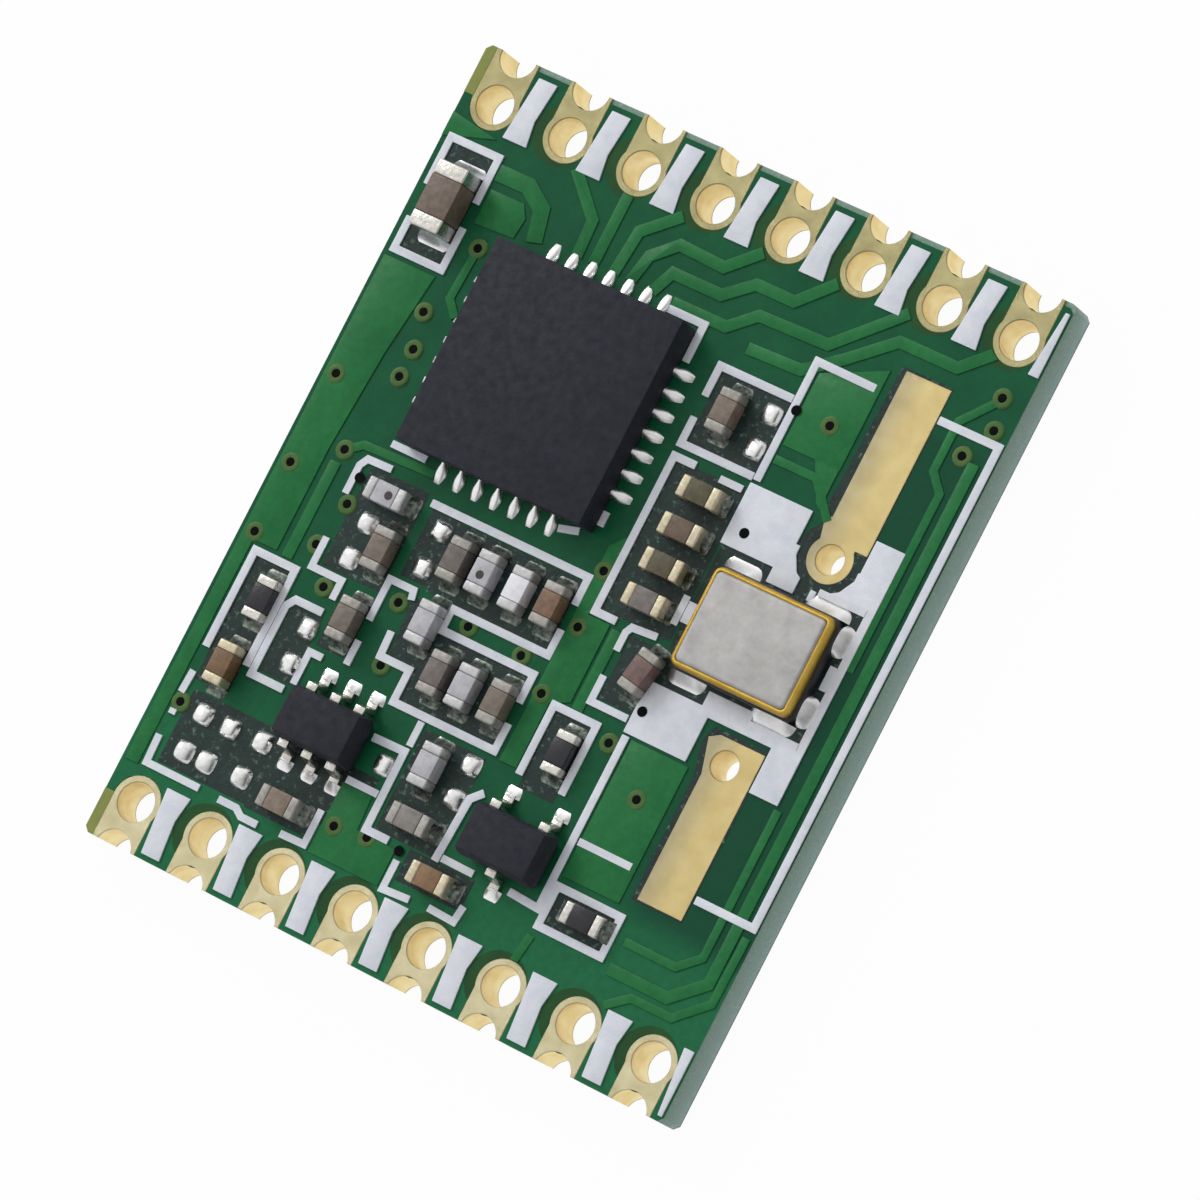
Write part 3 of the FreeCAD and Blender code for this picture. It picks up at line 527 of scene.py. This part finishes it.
def shrunk(points, inward):
    """A closed outline moved to its left by one distance all round."""
    out = []
    for i, (x, y) in enumerate(points):
        nx = ny = 0.0
        for (ax, ay), (bx, by) in ((points[i - 1], (x, y)), ((x, y), points[(i + 1) % len(points)])):
            run = math.hypot(bx - ax, by - ay)
            nx -= (by - ay) / run / 2
            ny += (bx - ax) / run / 2
        reach = inward / max(nx * nx + ny * ny, 0.3)
        out.append((x + nx * reach, y + ny * reach))
    return out


def plate(bm, loops, low, high, rim=0.0):
    """A flat solid in mm: its outline, then its holes. The rims of its upper face are cut by rim."""
    lower, upper = [], []
    for k, points in enumerate(loops):
        before = points[-1:] + points
        points = [here for last, here in zip(before, points) if math.dist(last, here) > SAME_PLACE]
        ahead = points[1:] + points[:1]
        turns_left = sum(a[0] * b[1] - b[0] * a[1] for a, b in zip(points, ahead)) > 0
        if turns_left != (k == 0):
            points = points[::-1]
        levels = [(points, low), (points, high - rim)]
        if rim:
            levels.append((shrunk(points, rim), high))
        rings = [ring_at(bm, ring, z) for ring, z in levels]
        for a, b in zip(rings, rings[1:]):
            wall(bm, a, b)
        lower.append((levels[0][0], rings[0]))
        upper.append((levels[-1][0], rings[-1]))
    for face in (lower, upper):
        corners = [vert for _, ring in face for vert in ring]
        flat = [[Vector((x, y, 0)) for x, y in ring] for ring, _ in face]
        for triangle in tessellate_polygon(flat):
            bm.faces.new([corners[i] for i in triangle])


# The board and its pads, all in mm, at the places that they have in the solids
HALF_WIDTH, HALF_LENGTH, CORNER_CUT = 7.85, 9.85, 0.12
UPPER_ROW, LOWER_ROW = 8.65, -8.78
PAD_XS = [2.0 * i - 7.0 for i in range(8)]
HOLE_R, RING_R, LINING_R, NOTCH_OFFSET, STRIP_HALF = 0.46, 0.61, 0.5, 1.17, 0.56
UPPER_BAR_HOLE, LOWER_BAR_HOLE = (5.37, 2.62), (5.37, -2.38)

# Heights in mm: the plating's upper face, where it starts in the coat, the upper face of the
# plates on the underside, and where the linings start. Then the cut of the plating's rims
COPPER_TOP, COPPER_LOW, COPPER_UNDER = 1.012, 0.965, 0.035
LINING_LOW = 0.004
RIM = 0.014
# How far the coat that covers the first pad's side stays off it, and how far it stands above it
COVER_GAP, COVER_RISE = 0.04, 0.006


def edge_pad(bm, lining, cover, x, row_y, way):
    """One pad's plating and linings, and beside the first of a row the thin coat over the gold.

    Its own y runs from the hole to the board's edge, and way turns it for the lower row.
    """
    def at(points):
        return [(x + a, row_y + way * b) for a, b in points]

    edge = HALF_LENGTH - abs(row_y)
    lift = math.degrees(math.asin((edge - NOTCH_OFFSET) / HOLE_R))
    meet = math.degrees(math.acos(STRIP_HALF / RING_R))
    notch = arc(0, NOTCH_OFFSET, HOLE_R, lift, -180 - lift, 30)
    side = [(STRIP_HALF, RING_R * math.sin(math.radians(meet))), (STRIP_HALF, edge)]
    hole = circle(0, 0, HOLE_R)
    if x == PAD_XS[0]:
        reach = HALF_WIDTH + x
        corner = [(-reach + CORNER_CUT, edge), (-reach, edge - CORNER_CUT), (-reach, 0)]
        face = side + notch + corner + arc(0, 0, RING_R, 180, 360 + meet, 30)
        off = -STRIP_HALF - COVER_GAP
        plate(cover, [at([(off, edge)] + corner + [(off, 0)])], COPPER_LOW, COPPER_TOP + COVER_RISE)
    else:
        left = [(-a, b) for a, b in side[::-1]]
        face = side + notch + left + arc(0, 0, RING_R, 180 - meet, 360 + meet, 36)
    plate(bm, [at(face), at(hole)], COPPER_LOW, COPPER_TOP, RIM)
    sides = 12 if x in (PAD_XS[0], PAD_XS[-1]) else 6
    plate(lining, [at(flat_sided(0, 0, LINING_R, sides)), at(hole)], LINING_LOW, COPPER_LOW)
    slant = LINING_R / math.cos(math.pi / 6)
    shoulder = NOTCH_OFFSET - slant / 2
    outer = [(LINING_R, edge), (LINING_R, shoulder), (0, NOTCH_OFFSET - slant),
             (-LINING_R, shoulder), (-LINING_R, edge)]
    plate(lining, [at(outer + notch[::-1])], LINING_LOW, COPPER_LOW)
    under = [(STRIP_HALF, -RING_R), (STRIP_HALF, edge)] + notch
    under += [(-STRIP_HALF, edge), (-STRIP_HALF, -RING_R)]
    plate(bm, [at(under), at(hole)], 0, COPPER_UNDER)


def edge_pads():
    """Both rows of plated pads with round rims, hole linings and edge notch linings."""
    for row_y, way, node in ((UPPER_ROW, 1, "edge_pads_upper"), (LOWER_ROW, -1, "edge_pads_lower")):
        bm, lining, cover = bmesh.new(), bmesh.new(), bmesh.new()
        for x in PAD_XS:
            edge_pad(bm, lining, cover, x, row_y, way)
        piece = formed(bm, node + "_round", "pad_gold")
        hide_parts(node)
        # The linings take the gold that is painted bright as a highlight.
        formed(lining, node + "_linings", "bright_painted_lining")
        formed(cover, node + "_cover", "edge_gold")


def crystal_bars():
    """The two long gold lands with their plated holes."""
    x0, x1 = 4.95, 6.13
    neck, ring_r, hole_r, lining_r = 0.45, 0.56, 0.34, 0.38
    meet = math.degrees(math.acos(neck / ring_r))
    ux, uy = UPPER_BAR_HOLE
    upper = [(x0, 7.05), (x1, 7.05), (x1, 3.0), (ux + neck, 3.0)]
    upper += arc(ux, uy, ring_r, meet, -180 - meet, 36) + [(x0 - 0.15, 3.4), (x0, 3.5)]
    lower = [(x0, -1.8), (x1, -1.8), (x1, -5.8), (x0, -5.8), (x0, -2.75), (x0 - 0.25, -1.95)]
    for node, outline, place in (("crystal_land_upper", upper, (ux, uy)),
                                 ("crystal_land_lower", lower, LOWER_BAR_HOLE)):
        bm, lining = bmesh.new(), bmesh.new()
        hole = circle(*place, hole_r, 32)
        plate(bm, [outline, hole], COPPER_LOW, COPPER_TOP, RIM)
        plate(lining, [flat_sided(*place, lining_r, 6), hole], 0, COPPER_LOW)
        piece = formed(bm, node + "_round", "gold")
        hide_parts(node)
        # The lining takes the gold that is painted bright as a highlight.
        formed(lining, node + "_lining", "bright_painted_lining")


# Places painted dark over the coat, between the parts inside the printed outlines, in mm: bare board
# where the coat is open, and painted shade between and beside the parts
DARK_AND_SHADED_AREAS = [
    rectangle(-7.5, 4.9, -6.38, 7.5),
    rectangle(-3.0, -0.1, 0.32, -1.78),
    rectangle(-3.75, 0.1, -3.0, -1.7),
    rectangle(-2.35, -2.5, 0.2, -4.17),
    [(-3.2, -2.0), (-2.3, -2.0), (-2.3, -3.4), (-3.1, -3.4)],
    rectangle(1.02, -0.47, 2.85, 3.2),
    rectangle(1.02, 3.65, 2.85, 5.35),
    rectangle(-7.12, -2.7, -6.2, -5.75),
    rectangle(1.18, -2.9, 2.12, -4.75),
    rectangle(3.15, -6.3, 4.82, -7.25),
    rectangle(-5.78, -3.3, -4.95, -4.95),
    rectangle(-5.6, 0.2, -4.0, -2.25),
    rectangle(-4.8, -2.6, -4.0, -3.9),
    rectangle(-7.0, -5.95, -4.6, -7.75),
    rectangle(-1.45, -4.5, 0.2, -6.95),
    rectangle(1.95, -0.7, 3.1, -2.25),
    # This one runs out past the crystal's right side, where it is painted shade.
    rectangle(2.9, -1.45, 6.85, 1.95),
    [(4.72, 3.4), (6.15, 2.85), (6.15, 7.1), (4.82, 7.1)],
    rectangle(-0.45, -7.0, 1.3, -7.75),
    rectangle(-4.6, -6.95, -2.75, -7.8),
    rectangle(-4.6, -5.95, -1.9, -7.4),
]


def rounded_box(low, high, r, steps=5):
    """The outline of a rectangle with round corners, in mm."""
    x0, y0, x1, y1 = low.x / MM + r, low.y / MM + r, high.x / MM - r, high.y / MM - r
    return (arc(x1, y1, r, 0, 90, steps) + arc(x0, y1, r, 90, 180, steps)
            + arc(x0, y0, r, 180, 270, steps) + arc(x1, y0, r, 270, 360, steps))


def drawn_shell(bm, outline, profile, filled):
    """A form whose wall follows a profile of (inset, height) pairs, in mm, closed above if filled."""
    rings = [ring_at(bm, shrunk(outline, inset), z) for inset, z in profile]
    for a, b in zip(rings, rings[1:]):
        wall(bm, a, b)
    if filled:
        bm.faces.new(rings[-1])
        bm.faces.new(rings[0][::-1])
    else:
        wall(bm, rings[-1], rings[0])


# Corner radii in mm, and how the edges roll over, as pairs of inset and depth below the top
RING_CORNER, LID_CORNER = 0.2, 0.14
RING_SHOULDER = [(0, 0.14), (0.006, 0.09), (0.022, 0.045), (0.045, 0.015), (0.075, 0), (0.112, 0)]
LID_SHOULDER = [(0, 0.06), (0.01, 0.035), (0.03, 0.014), (0.06, 0.003), (0.1, 0)]


def shouldered(node, corner, shoulder, filled):
    """A drawn form over a solid's box, with round corners and a rolled shoulder."""
    low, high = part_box(node)
    z0, z1 = low.z / MM, high.z / MM
    profile = [(0, z0)] + [(inset, z1 - drop) for inset, drop in shoulder]
    if not filled:
        profile.append((shoulder[-1][0], z0))
    bm = bmesh.new()
    drawn_shell(bm, rounded_box(low, high, corner), profile, filled)
    return bm


def crystal_can():
    """The crystal's gold ring with its rolled shoulder, and the lid set in it."""
    ring = shouldered("crystal_seal_ring", RING_CORNER, RING_SHOULDER, False)
    piece = formed(ring, "crystal_ring_rolled", "seal_gold", None)
    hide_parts("crystal_seal_ring")
    lid = shouldered("crystal_lid", LID_CORNER, LID_SHOULDER, True)
    piece = formed(lid, "crystal_lid_set", "lid", 50)
    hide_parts("crystal_lid")


# The dark ring round the upper land's hole, the hole in it, and the dark field of the lower land
HALO_R, PATCH_HOLE_R = 0.86, 0.36
LAND_FIELD = [(4.6, -2.1), (4.75, -1.7), (6.2, -1.7), (6.15, -5.84), (4.82, -5.84), (4.82, -2.9)]
# The darker band beside each pad, and how far its middle lies to the left of the pad's
BAND_R, BAND_SHIFT = 0.74, 0.14
# How far patches and bands stand above the coat, and how much higher each patch is than the last
PATCH_RISE, PATCH_STEP, BAND_RISE = 0.002, 0.0002, 0.001


def dark_patches():
    """Dark board and painted shade between the parts and round the lands, and darker bands beside the
    pads.
    """
    patches = [[points] for points in DARK_AND_SHADED_AREAS]
    patches.append([circle(*UPPER_BAR_HOLE, HALO_R, 36), circle(*UPPER_BAR_HOLE, PATCH_HOLE_R)])
    patches.append([LAND_FIELD, circle(*LOWER_BAR_HOLE, PATCH_HOLE_R)])
    bm = bmesh.new()
    for count, loops in enumerate(patches):
        plate(bm, loops, COPPER_LOW, TOP + PATCH_RISE + PATCH_STEP * count)
    formed(bm, "dark_board_and_shade_patches", "dark_board_and_shade")
    bm = bmesh.new()
    for x in PAD_XS[1:]:
        for row_y in (UPPER_ROW, LOWER_ROW):
            band = circle(x - BAND_SHIFT, row_y, BAND_R, 30)
            plate(bm, [band, circle(x, row_y, LINING_R)], COPPER_LOW, TOP + BAND_RISE)
    formed(bm, "pad_bands", "pad_band")


# Middles of the inductors' marks, which start just inside the upper faces, in mm
INDUCTOR_MARKS = [(-4.64, -0.27), (-1.75, -0.97)]
INDUCTOR_MARK_R, INDUCTOR_MARK_LOW, INDUCTOR_MARK_TOP = 0.1, 1.49, 1.504


def inductor_marks():
    """The round mark on two of the inductors."""
    bm = bmesh.new()
    for x, y in INDUCTOR_MARKS:
        plate(bm, [circle(x, y, INDUCTOR_MARK_R, 16)], INDUCTOR_MARK_LOW, INDUCTOR_MARK_TOP)
    formed(bm, "inductor_marks", "mark")


# Vias, first those in the coat and then those whose hole shows through the print
VIAS = [
    (-5.72, 5.57), (-6.20, 3.78), (-6.00, 2.93), (-6.00, 2.25), (-7.45, 1.72), (-6.38, 0.27),
    (-7.45, -0.50), (-7.45, -2.23), (-5.70, -0.80), (-5.93, -1.90), (-5.28, -2.68),
    (-3.45, -2.27), (-3.13, -3.68), (-7.15, -6.35), (-2.35, -7.30), (-1.50, -7.20),
    (-1.65, -2.08), (-0.18, -2.15), (0.67, 0.30), (0.73, -1.05), (0.68, -2.70), (2.67, -3.03),
    (3.93, 5.25), (7.28, 7.35), (7.45, 6.63), (7.05, 5.85), (3.88, -3.87),
]
VIAS_IN_PRINT = [(3.05, 5.25), (3.28, 2.35), (3.05, -2.10), (-0.65, -7.15), (-5.72, -0.15)]
VIA_R, VIA_HOLE_R = 0.22, 0.1
# The rim of a via as pairs of radius and height, and the heights of its two kinds of dark disc,
# painted shade that stands for the hole
VIA_PROFILE = [(VIA_HOLE_R, 1.034), (VIA_HOLE_R + 0.01, 1.042), (VIA_HOLE_R + 0.03, 1.044),
               (VIA_R - 0.03, 1.04), (VIA_R, 1.034), (VIA_R + 0.02, 1.0)]
VIA_DISC_Z, PRINT_DISC_Z = 1.038, TOP + 0.056


def vias():
    """Low rims with a dark disc of painted shade for the hole in each, and a larger such disc alone
    where the print covers the rim.
    """
    rings, holes = bmesh.new(), bmesh.new()
    for x, y in VIAS:
        disc_mesh(rings, x, y, VIA_PROFILE)
        holes.faces.new(disc_mesh(holes, x, y, [(VIA_HOLE_R + 0.01, VIA_DISC_Z)])[0])
    for x, y in VIAS_IN_PRINT:
        holes.faces.new(disc_mesh(holes, x, y, [(VIA_HOLE_R + 0.02, PRINT_DISC_Z)])[0])
    formed(rings, "via_rings", "via_ring", None)
    formed(holes, "painted_via_shades", "painted_via_shade", None)


# Short printed lines by their points, and their width. How far lines, printed areas and covered
# copper stand above the coat
MARK_WIDTH = 0.17
MARK_RISE, AREA_RISE, COPPER_RISE = 0.045, 0.049, 0.028
MARKS = [
    [(2.15, 3.2), (2.75, 3.2)], [(-1.6, -4.4), (-1.6, -5.0)], [(-2.6, -6.25), (-1.75, -6.25)],
    [(-7.22, -5.6), (-7.25, -6.15)], [(-7.22, -6.55), (-7.22, -6.68)],
    [(-5.2, -7.9), (-4.7, -7.9), (-4.5, -8.03), (-4.05, -8.03)],
    [(-3.45, -7.97), (-2.8, -7.95), (-2.8, -7.1)], [(0.35, -6.87), (1.2, -6.88)],
    [(-0.6, -7.35), (-0.6, -8.05), (0.1, -8.0)], [(0.6, -7.97), (1.3, -8.0), (1.35, -7.6)],
    [(-3.9, -2.9), (-3.9, -1.88), (-3.25, -1.88), (-3.2, -2.1)], [(-3.9, -3.4), (-3.9, -4.0)],
    [(-5.4, 0.84), (-4.45, 0.84)], [(-4.5, -4.1), (-4.85, -4.1), (-4.85, -4.9)],
    [(-0.8, 0.72), (-0.3, 0.85)], [(0.08, 1.5), (0.08, 1.15)], [(2.75, -0.1), (2.75, 0.6)],
    [(2.55, -0.5), (1.9, -0.55), (1.82, -0.7), (1.82, -1.15)],
    [(1.82, -1.75), (1.82, -2.38), (2.8, -2.38)],
    [(-5.1, 0.32), (-5.75, 0.3), (-5.87, 0.1), (-5.87, -0.6)],
    [(-5.78, -1.65), (-5.78, -2.38), (-4.95, -2.38), (-4.95, -2.85)],
    [(3.1, -5.23), (4.5, -5.23)], [(-7.25, -7.2), (-7.22, -7.88), (-5.75, -7.88)],
]


def ribbon(points, width):
    """The outline of a line of constant width with mitred corners and square ends."""
    left, right = [], []
    for i, (x, y) in enumerate(points):
        ways = []
        for a, b in ((i - 1, i), (i, i + 1)):
            if a >= 0 and b < len(points):
                dx, dy = points[b][0] - points[a][0], points[b][1] - points[a][1]
                run = math.hypot(dx, dy)
                ways.append((-dy / run, dx / run))
        nx = sum(w[0] for w in ways) / len(ways)
        ny = sum(w[1] for w in ways) / len(ways)
        reach = width / 2 / (nx * nx + ny * ny)
        left.append((x + nx * reach, y + ny * reach))
        right.append((x - nx * reach, y - ny * reach))
    return left + right[::-1]


def raised_outline(bm, points, low, high):
    """A flat-topped solid over a closed outline, all in mm."""
    lower, upper = ring_at(bm, points, low), ring_at(bm, points, high)
    bm.faces.new(upper)
    bm.faces.new(lower[::-1])
    wall(bm, lower, upper)


# Printed areas that close in on the crystal's joints
PRINT_AREAS = [
    rectangle(6.72, -1.42, 6.9, 1.96),
    rectangle(5.5, 1.8, 6.73, 1.96),
    rectangle(5.25, -1.42, 6.73, -1.26),
    rectangle(6.54, -0.02, 6.73, 0.56),
]
# Copper under the coat above the crystal
COPPER_PATCHES = [[(3.95, 4.5), (4.6, 4.5), (4.6, 3.5), (4.46, 3.62)]]


def printed_marks():
    """The short lines and areas of white print, and the patch of covered copper."""
    ink, copper = bmesh.new(), bmesh.new()
    for points in MARKS:
        raised_outline(ink, ribbon(points, MARK_WIDTH), TOP, TOP + MARK_RISE)
    for points in PRINT_AREAS:
        raised_outline(ink, points, TOP, TOP + AREA_RISE)
    for points in COPPER_PATCHES:
        raised_outline(copper, points, TOP, TOP + COPPER_RISE)
    formed(copper, "copper_patches", "copper")
    formed(ink, "printed_marks", "ink")


QUARTER = math.pi / 2
# Least height of a joint above the coat in mm, and the share of its reach at which it is fully wide
SOLDER_LIFT, FULL_WIDTH_AT = 0.004, 0.6
# First seeds of the pillows and of the joints that aren't at a chip part
PILLOW_SEED, TOE_SEED, CRYSTAL_SEED, LEAD_SEED = 100, 300, 400, 420
# Middles of the two leaded chips, how far apart their leads stand and how far out their feet end
SWITCH, TRANSISTOR = (-3.48, -5.48), (1.82, -6.0)
LEAD_STEP, LEAD_REACH = 0.65, 0.98


def solder_patch(bm, centre, turn, reach, width, height, lean, seed,
                 steps=7, blunt=3.5, start=1.0, tip=0.25):
    """Solder that wets an upright face and runs out to the edge of its land.

    Its own x runs out from the face, turned by turn. Sizes are in mm. A high lean lets it fall
    fast, and a low blunt draws it up the face to a point. start is how wide it is at the face
    and tip how much narrower at its end, as shares of its width.
    """
    rng = random.Random(seed)
    swell = 1 + rng.uniform(-0.12, 0.12)
    skew = rng.uniform(-0.15, 0.15)
    grid = []
    for i in range(steps + 1):
        u = i / steps
        half = width / 2 * (1 - tip * u ** 3)
        half *= start + (1 - start) * math.sin(min(u / FULL_WIDTH_AT, 1) * QUARTER)
        fall = (1 - u) ** lean
        row = []
        for j in range(steps + 1):
            v = 2 * j / steps - 1
            side = 1 - abs(v) ** (blunt + 2 * u)
            z = TOP + height * swell * fall * side * (1 + skew * v) + SOLDER_LIFT
            row.append(vertex(bm, *placed(centre, turn, reach * u, v * half), z))
        grid.append(row)
    sheet(bm, grid)


def chip_part_joints(bright, dull):
    """A joint at each end of every chip part. Those of the large one take the bright solder, the rest
    solder painted dark with pale specks as a painted reflection and painted glints.
    """
    for count, name in enumerate(CHIP_PARTS):
        low, high = (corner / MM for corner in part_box(name))
        middle = ((low.x + high.x) / 2, (low.y + high.y) / 2)
        large = name == LARGE_PART
        half = width = 0.8 if large else 0.5
        turn = 0.0 if name in LEVEL_PARTS else QUARTER
        if name == ASKEW_PART:
            turn = math.radians(ASKEW_TURN)
        reach, share = (0.13, 0.4) if "bypass" in name else (0.22, 0.55)
        for end in (0, 1):
            way = turn + math.pi * end
            solder_patch(bright if large else dull, placed(middle, way, half, 0), way, reach,
                         width * 1.1, (high.z - TOP) * share, 1.7, count * 2 + end)


def crystal_joints(bm):
    """The crystal's joints, two at each long side and two at its right end."""
    low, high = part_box("crystal_base")
    x0, y0, x1, y1 = low.x / MM, low.y / MM, high.x / MM, high.y / MM
    joints = [(x0 + 0.4, y1, 1, 0.95), (x1 - 0.55, y1, 1, 1.15), (x0 + 0.4, y0, -1, 0.95),
              (x1 - 0.55, y0, -1, 1.15), (x1, y1 - 0.4, 0, 0.75), (x1, y0 + 0.4, 0, 0.75)]
    for count, (x, y, side, width) in enumerate(joints):
        solder_patch(bm, (x, y), side * QUARTER, 0.29, width, 0.26, 1.3, CRYSTAL_SEED + count, 9)


def lead_joints(bm):
    """A joint at the foot of each lead of the two leaded chips."""
    steps = (-LEAD_STEP, 0, LEAD_STEP)
    for middle, feet in ((SWITCH, [(a, side) for a in steps for side in (1, -1)]),
                         (TRANSISTOR, [(-LEAD_STEP, 1), (LEAD_STEP, 1), (0, -1)])):
        for a, side in feet:
            foot = (middle[0] + a, middle[1] + side * LEAD_REACH)
            solder_patch(bm, foot, side * QUARTER, 0.26, 0.4, 0.16, 1.4,
                         LEAD_SEED + int(10 * (a + side)), 7, 2.4)


def part_joints():
    """Smooth joints in the place of the parts' solder, as a bright piece and one painted dark with
    pale specks as a painted reflection and painted glints.
    """
    bright, dull = bmesh.new(), bmesh.new()
    chip_part_joints(bright, dull)
    crystal_joints(bright)
    lead_joints(bright)
    # The dull piece is solder painted dark with pale specks: painted reflection and glints.
    for tail, form, look in (("bright", bright, "bright_joint"), ("dull", dull, "joint_with_painted_reflection")):
        piece = formed(form, "part_joints_" + tail, look, None)
        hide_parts("part_solder")


def bare_solder():
    """Rounded pillows of solder on the lands that carry no part."""
    bm = bmesh.new()
    whole = welded("bare_land_solder")
    lands = sorted(loose_parts(whole), key=lambda land: min((v.co.x, v.co.y) for v in land))
    steps = 8
    for count, land in enumerate(lands):
        xs = [v.co.x / MM for v in land]
        ys = [v.co.y / MM for v in land]
        cx, cy, half = (min(xs) + max(xs)) / 2, (min(ys) + max(ys)) / 2, (max(xs) - min(xs)) / 2
        rng = random.Random(PILLOW_SEED + count)
        lean_x, lean_y = rng.uniform(-0.35, 0.35), rng.uniform(-0.35, 0.35)
        peak = 0.15 * rng.uniform(0.85, 1.05)
        grid = []
        for i in range(steps + 1):
            row = []
            for j in range(steps + 1):
                u, v = 2 * i / steps - 1, 2 * j / steps - 1
                pull = 1 - 0.16 * (abs(u) * abs(v)) ** 2
                dome = (1 - abs(u) ** 2.6) * (1 - abs(v) ** 2.6)
                z = TOP + 0.006 + peak * dome ** 0.6 * (1 + lean_x * u + lean_y * v)
                row.append(vertex(bm, cx + u * half * pull, cy + v * half * pull, z))
            grid.append(row)
        sheet(bm, grid)
    whole.free()
    piece = formed(bm, "bare_solder", "solder", None)
    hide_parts("bare_land_solder")


def chip_toes():
    """The square chip's 28 solder toes, each a smooth finger out from its lead."""
    leads, pitch, lower_side = 7, 0.5, 3
    low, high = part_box("transceiver_body")
    middle = ((low.x + high.x) / 2 / MM, (low.y + high.y) / 2 / MM)
    half = (high.x - low.x) / 2 / MM
    bm = bmesh.new()
    for side in range(4):
        turn = side * QUARTER
        start = 0.45 if side == lower_side else 0.75
        for i in range(leads):
            place = placed(middle, turn, half, (i - leads // 2) * pitch)
            solder_patch(bm, place, turn, 0.47, 0.3, 0.17, 0.7, TOE_SEED + leads * side + i,
                         10, 3.0, start, 0.55)
    piece = formed(bm, "transceiver_toes", "bright_joint", None)
    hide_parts("transceiver_solder")


def chip_parts():
    """Softened bodies of the chip parts, and their terminals as one piece for each finish."""
    for name, (pale, dark) in CAPACITOR_COLOURS.items():
        look = mottled(name + "_look", pale, dark, 0.16, (0.4, 0.6), 0.06, 0.008)
        softened(name, 0.03, look)
    for name in INDUCTORS:
        look = LOOKS["bright_inductor" if name == BRIGHT_INDUCTOR else "inductor"]
        softened(name, 0.04, look)
    for name in RESISTORS:
        softened(name, 0.02, LOOKS["resistor"])
    for look in ("tin", "cream_tin", "pale_tin", "dull_tin"):
        softened("chip_terminals", 0.05, LOOKS[look], 3,
                 lambda middle, look=look: terminal_look(middle) == look, look)


def chips():
    """Softened bodies of the moulded chips and of the crystal, and the bent leads."""
    for node, width in (("transceiver_body", 0.025), ("rf_switch_body", 0.04),
                        ("transistor_body", 0.04)):
        softened(node, width, LOOKS["moulding"])
    for node in ("rf_switch_leads", "transistor_leads"):
        softened(node, 0.03, LOOKS["tin"])
    softened("crystal_base", 0.03, LOOKS["dark_ceramic"])


def board():
    """The solids that show as they are, and the softened tracks and print."""
    for node, look in (("laminate", "laminate"), ("solder_mask_top", "mask"),
                       ("solder_mask_bottom", "under_mask"), ("transceiver_leads", "tin"),
                       ("transceiver_heat_pad", "tin")):
        dress(nodes[node], LOOKS[look])
    softened("raised_tracks", 0.028, LOOKS["copper"])
    softened("silkscreen", 0.02, LOOKS["ink"])


def area_light(name, place, aim, size, power):
    """A rectangular light that points at aim."""
    data = bpy.data.lights.new(name, "AREA")
    data.shape = "RECTANGLE"
    data.size, data.size_y = size
    data.energy = power
    obj = bpy.data.objects.new(name, data)
    scene.collection.objects.link(obj)
    obj.location = place
    obj.rotation_euler = (Vector(aim) - Vector(place)).to_track_quat("-Z", "Y").to_euler()


# Half the floor's side and how far it lies below the board, in metres
FLOOR_REACH, FLOOR_DROP = 1.5, 0.00002


def studio():
    """The floor, a world that is bright on one side and at the horizon, and one light."""
    mesh = bpy.data.meshes.new("floor")
    corners = rectangle(-FLOOR_REACH, -FLOOR_REACH, FLOOR_REACH, FLOOR_REACH)
    mesh.from_pydata([(x, y, -FLOOR_DROP) for x, y in corners], [], [(0, 1, 2, 3)])
    floor = bpy.data.objects.new("floor", mesh)
    scene.collection.objects.link(floor)
    dress(floor, lit_floor())

    world = bpy.data.worlds.new("studio")
    scene.world = world
    world.use_nodes = True
    tree = world.node_tree
    way = tree.nodes.new("ShaderNodeTexCoord").outputs["Generated"]
    across = tree.nodes.new("ShaderNodeVectorMath")
    across.operation = "DOT_PRODUCT"
    across.inputs[1].default_value = (-0.8, 0.25, 0.35)
    tree.links.new(way, across.inputs[0])
    level = tree.nodes.new("ShaderNodeSeparateXYZ")
    tree.links.new(way, level.inputs[0])
    side = ranged(tree, across.outputs["Value"], 0.08, 0.92, -0.4, 0.5)
    horizon = ranged(tree, level.outputs["Z"], 0.7, 0.0, 0.3, 0.62)
    back = tree.nodes["Background"]
    tree.links.new(worked_out(tree, "MAXIMUM", horizon, side), back.inputs["Strength"])
    back.inputs["Color"].default_value = (1, 1, 1, 1)
    area_light("key", place=(-0.34, 0.18, 0.26), aim=(0, 0, 0), size=(0.17, 0.17), power=0.72)


# The photo's camera, fitted to the places of the board's pads and corners, in mm
CAMERA_PLACE = (82.52, -11.08, 168.54)
CAMERA_RIGHT, CAMERA_UP = (0.8117, 0.455, -0.3662), (-0.3872, 0.8886, 0.2458)
LENS, SENSOR_WIDTH = 257.1, 36.0


def camera():
    """The camera, placed and turned as the photo's was."""
    data = bpy.data.cameras.new("camera")
    data.sensor_width = SENSOR_WIDTH
    data.lens = LENS
    data.clip_start = 0.005
    data.clip_end = 10.0
    obj = bpy.data.objects.new("camera", data)
    scene.collection.objects.link(obj)
    right = Vector(CAMERA_RIGHT)
    back = right.cross(Vector(CAMERA_UP)).normalized()
    up = back.cross(right).normalized()
    right.normalize()
    turn = Matrix((right, up, back)).transposed().to_4x4()
    obj.matrix_world = Matrix.Translation(Vector(CAMERA_PLACE) * MM) @ turn
    scene.camera = obj


chip_parts()
chips()
crystal_can()
board()
vias()
printed_marks()
part_joints()
edge_pads()
crystal_bars()
dark_patches()
inductor_marks()
bare_solder()
chip_toes()
studio()
camera()
scene.view_settings.view_transform = "Standard"
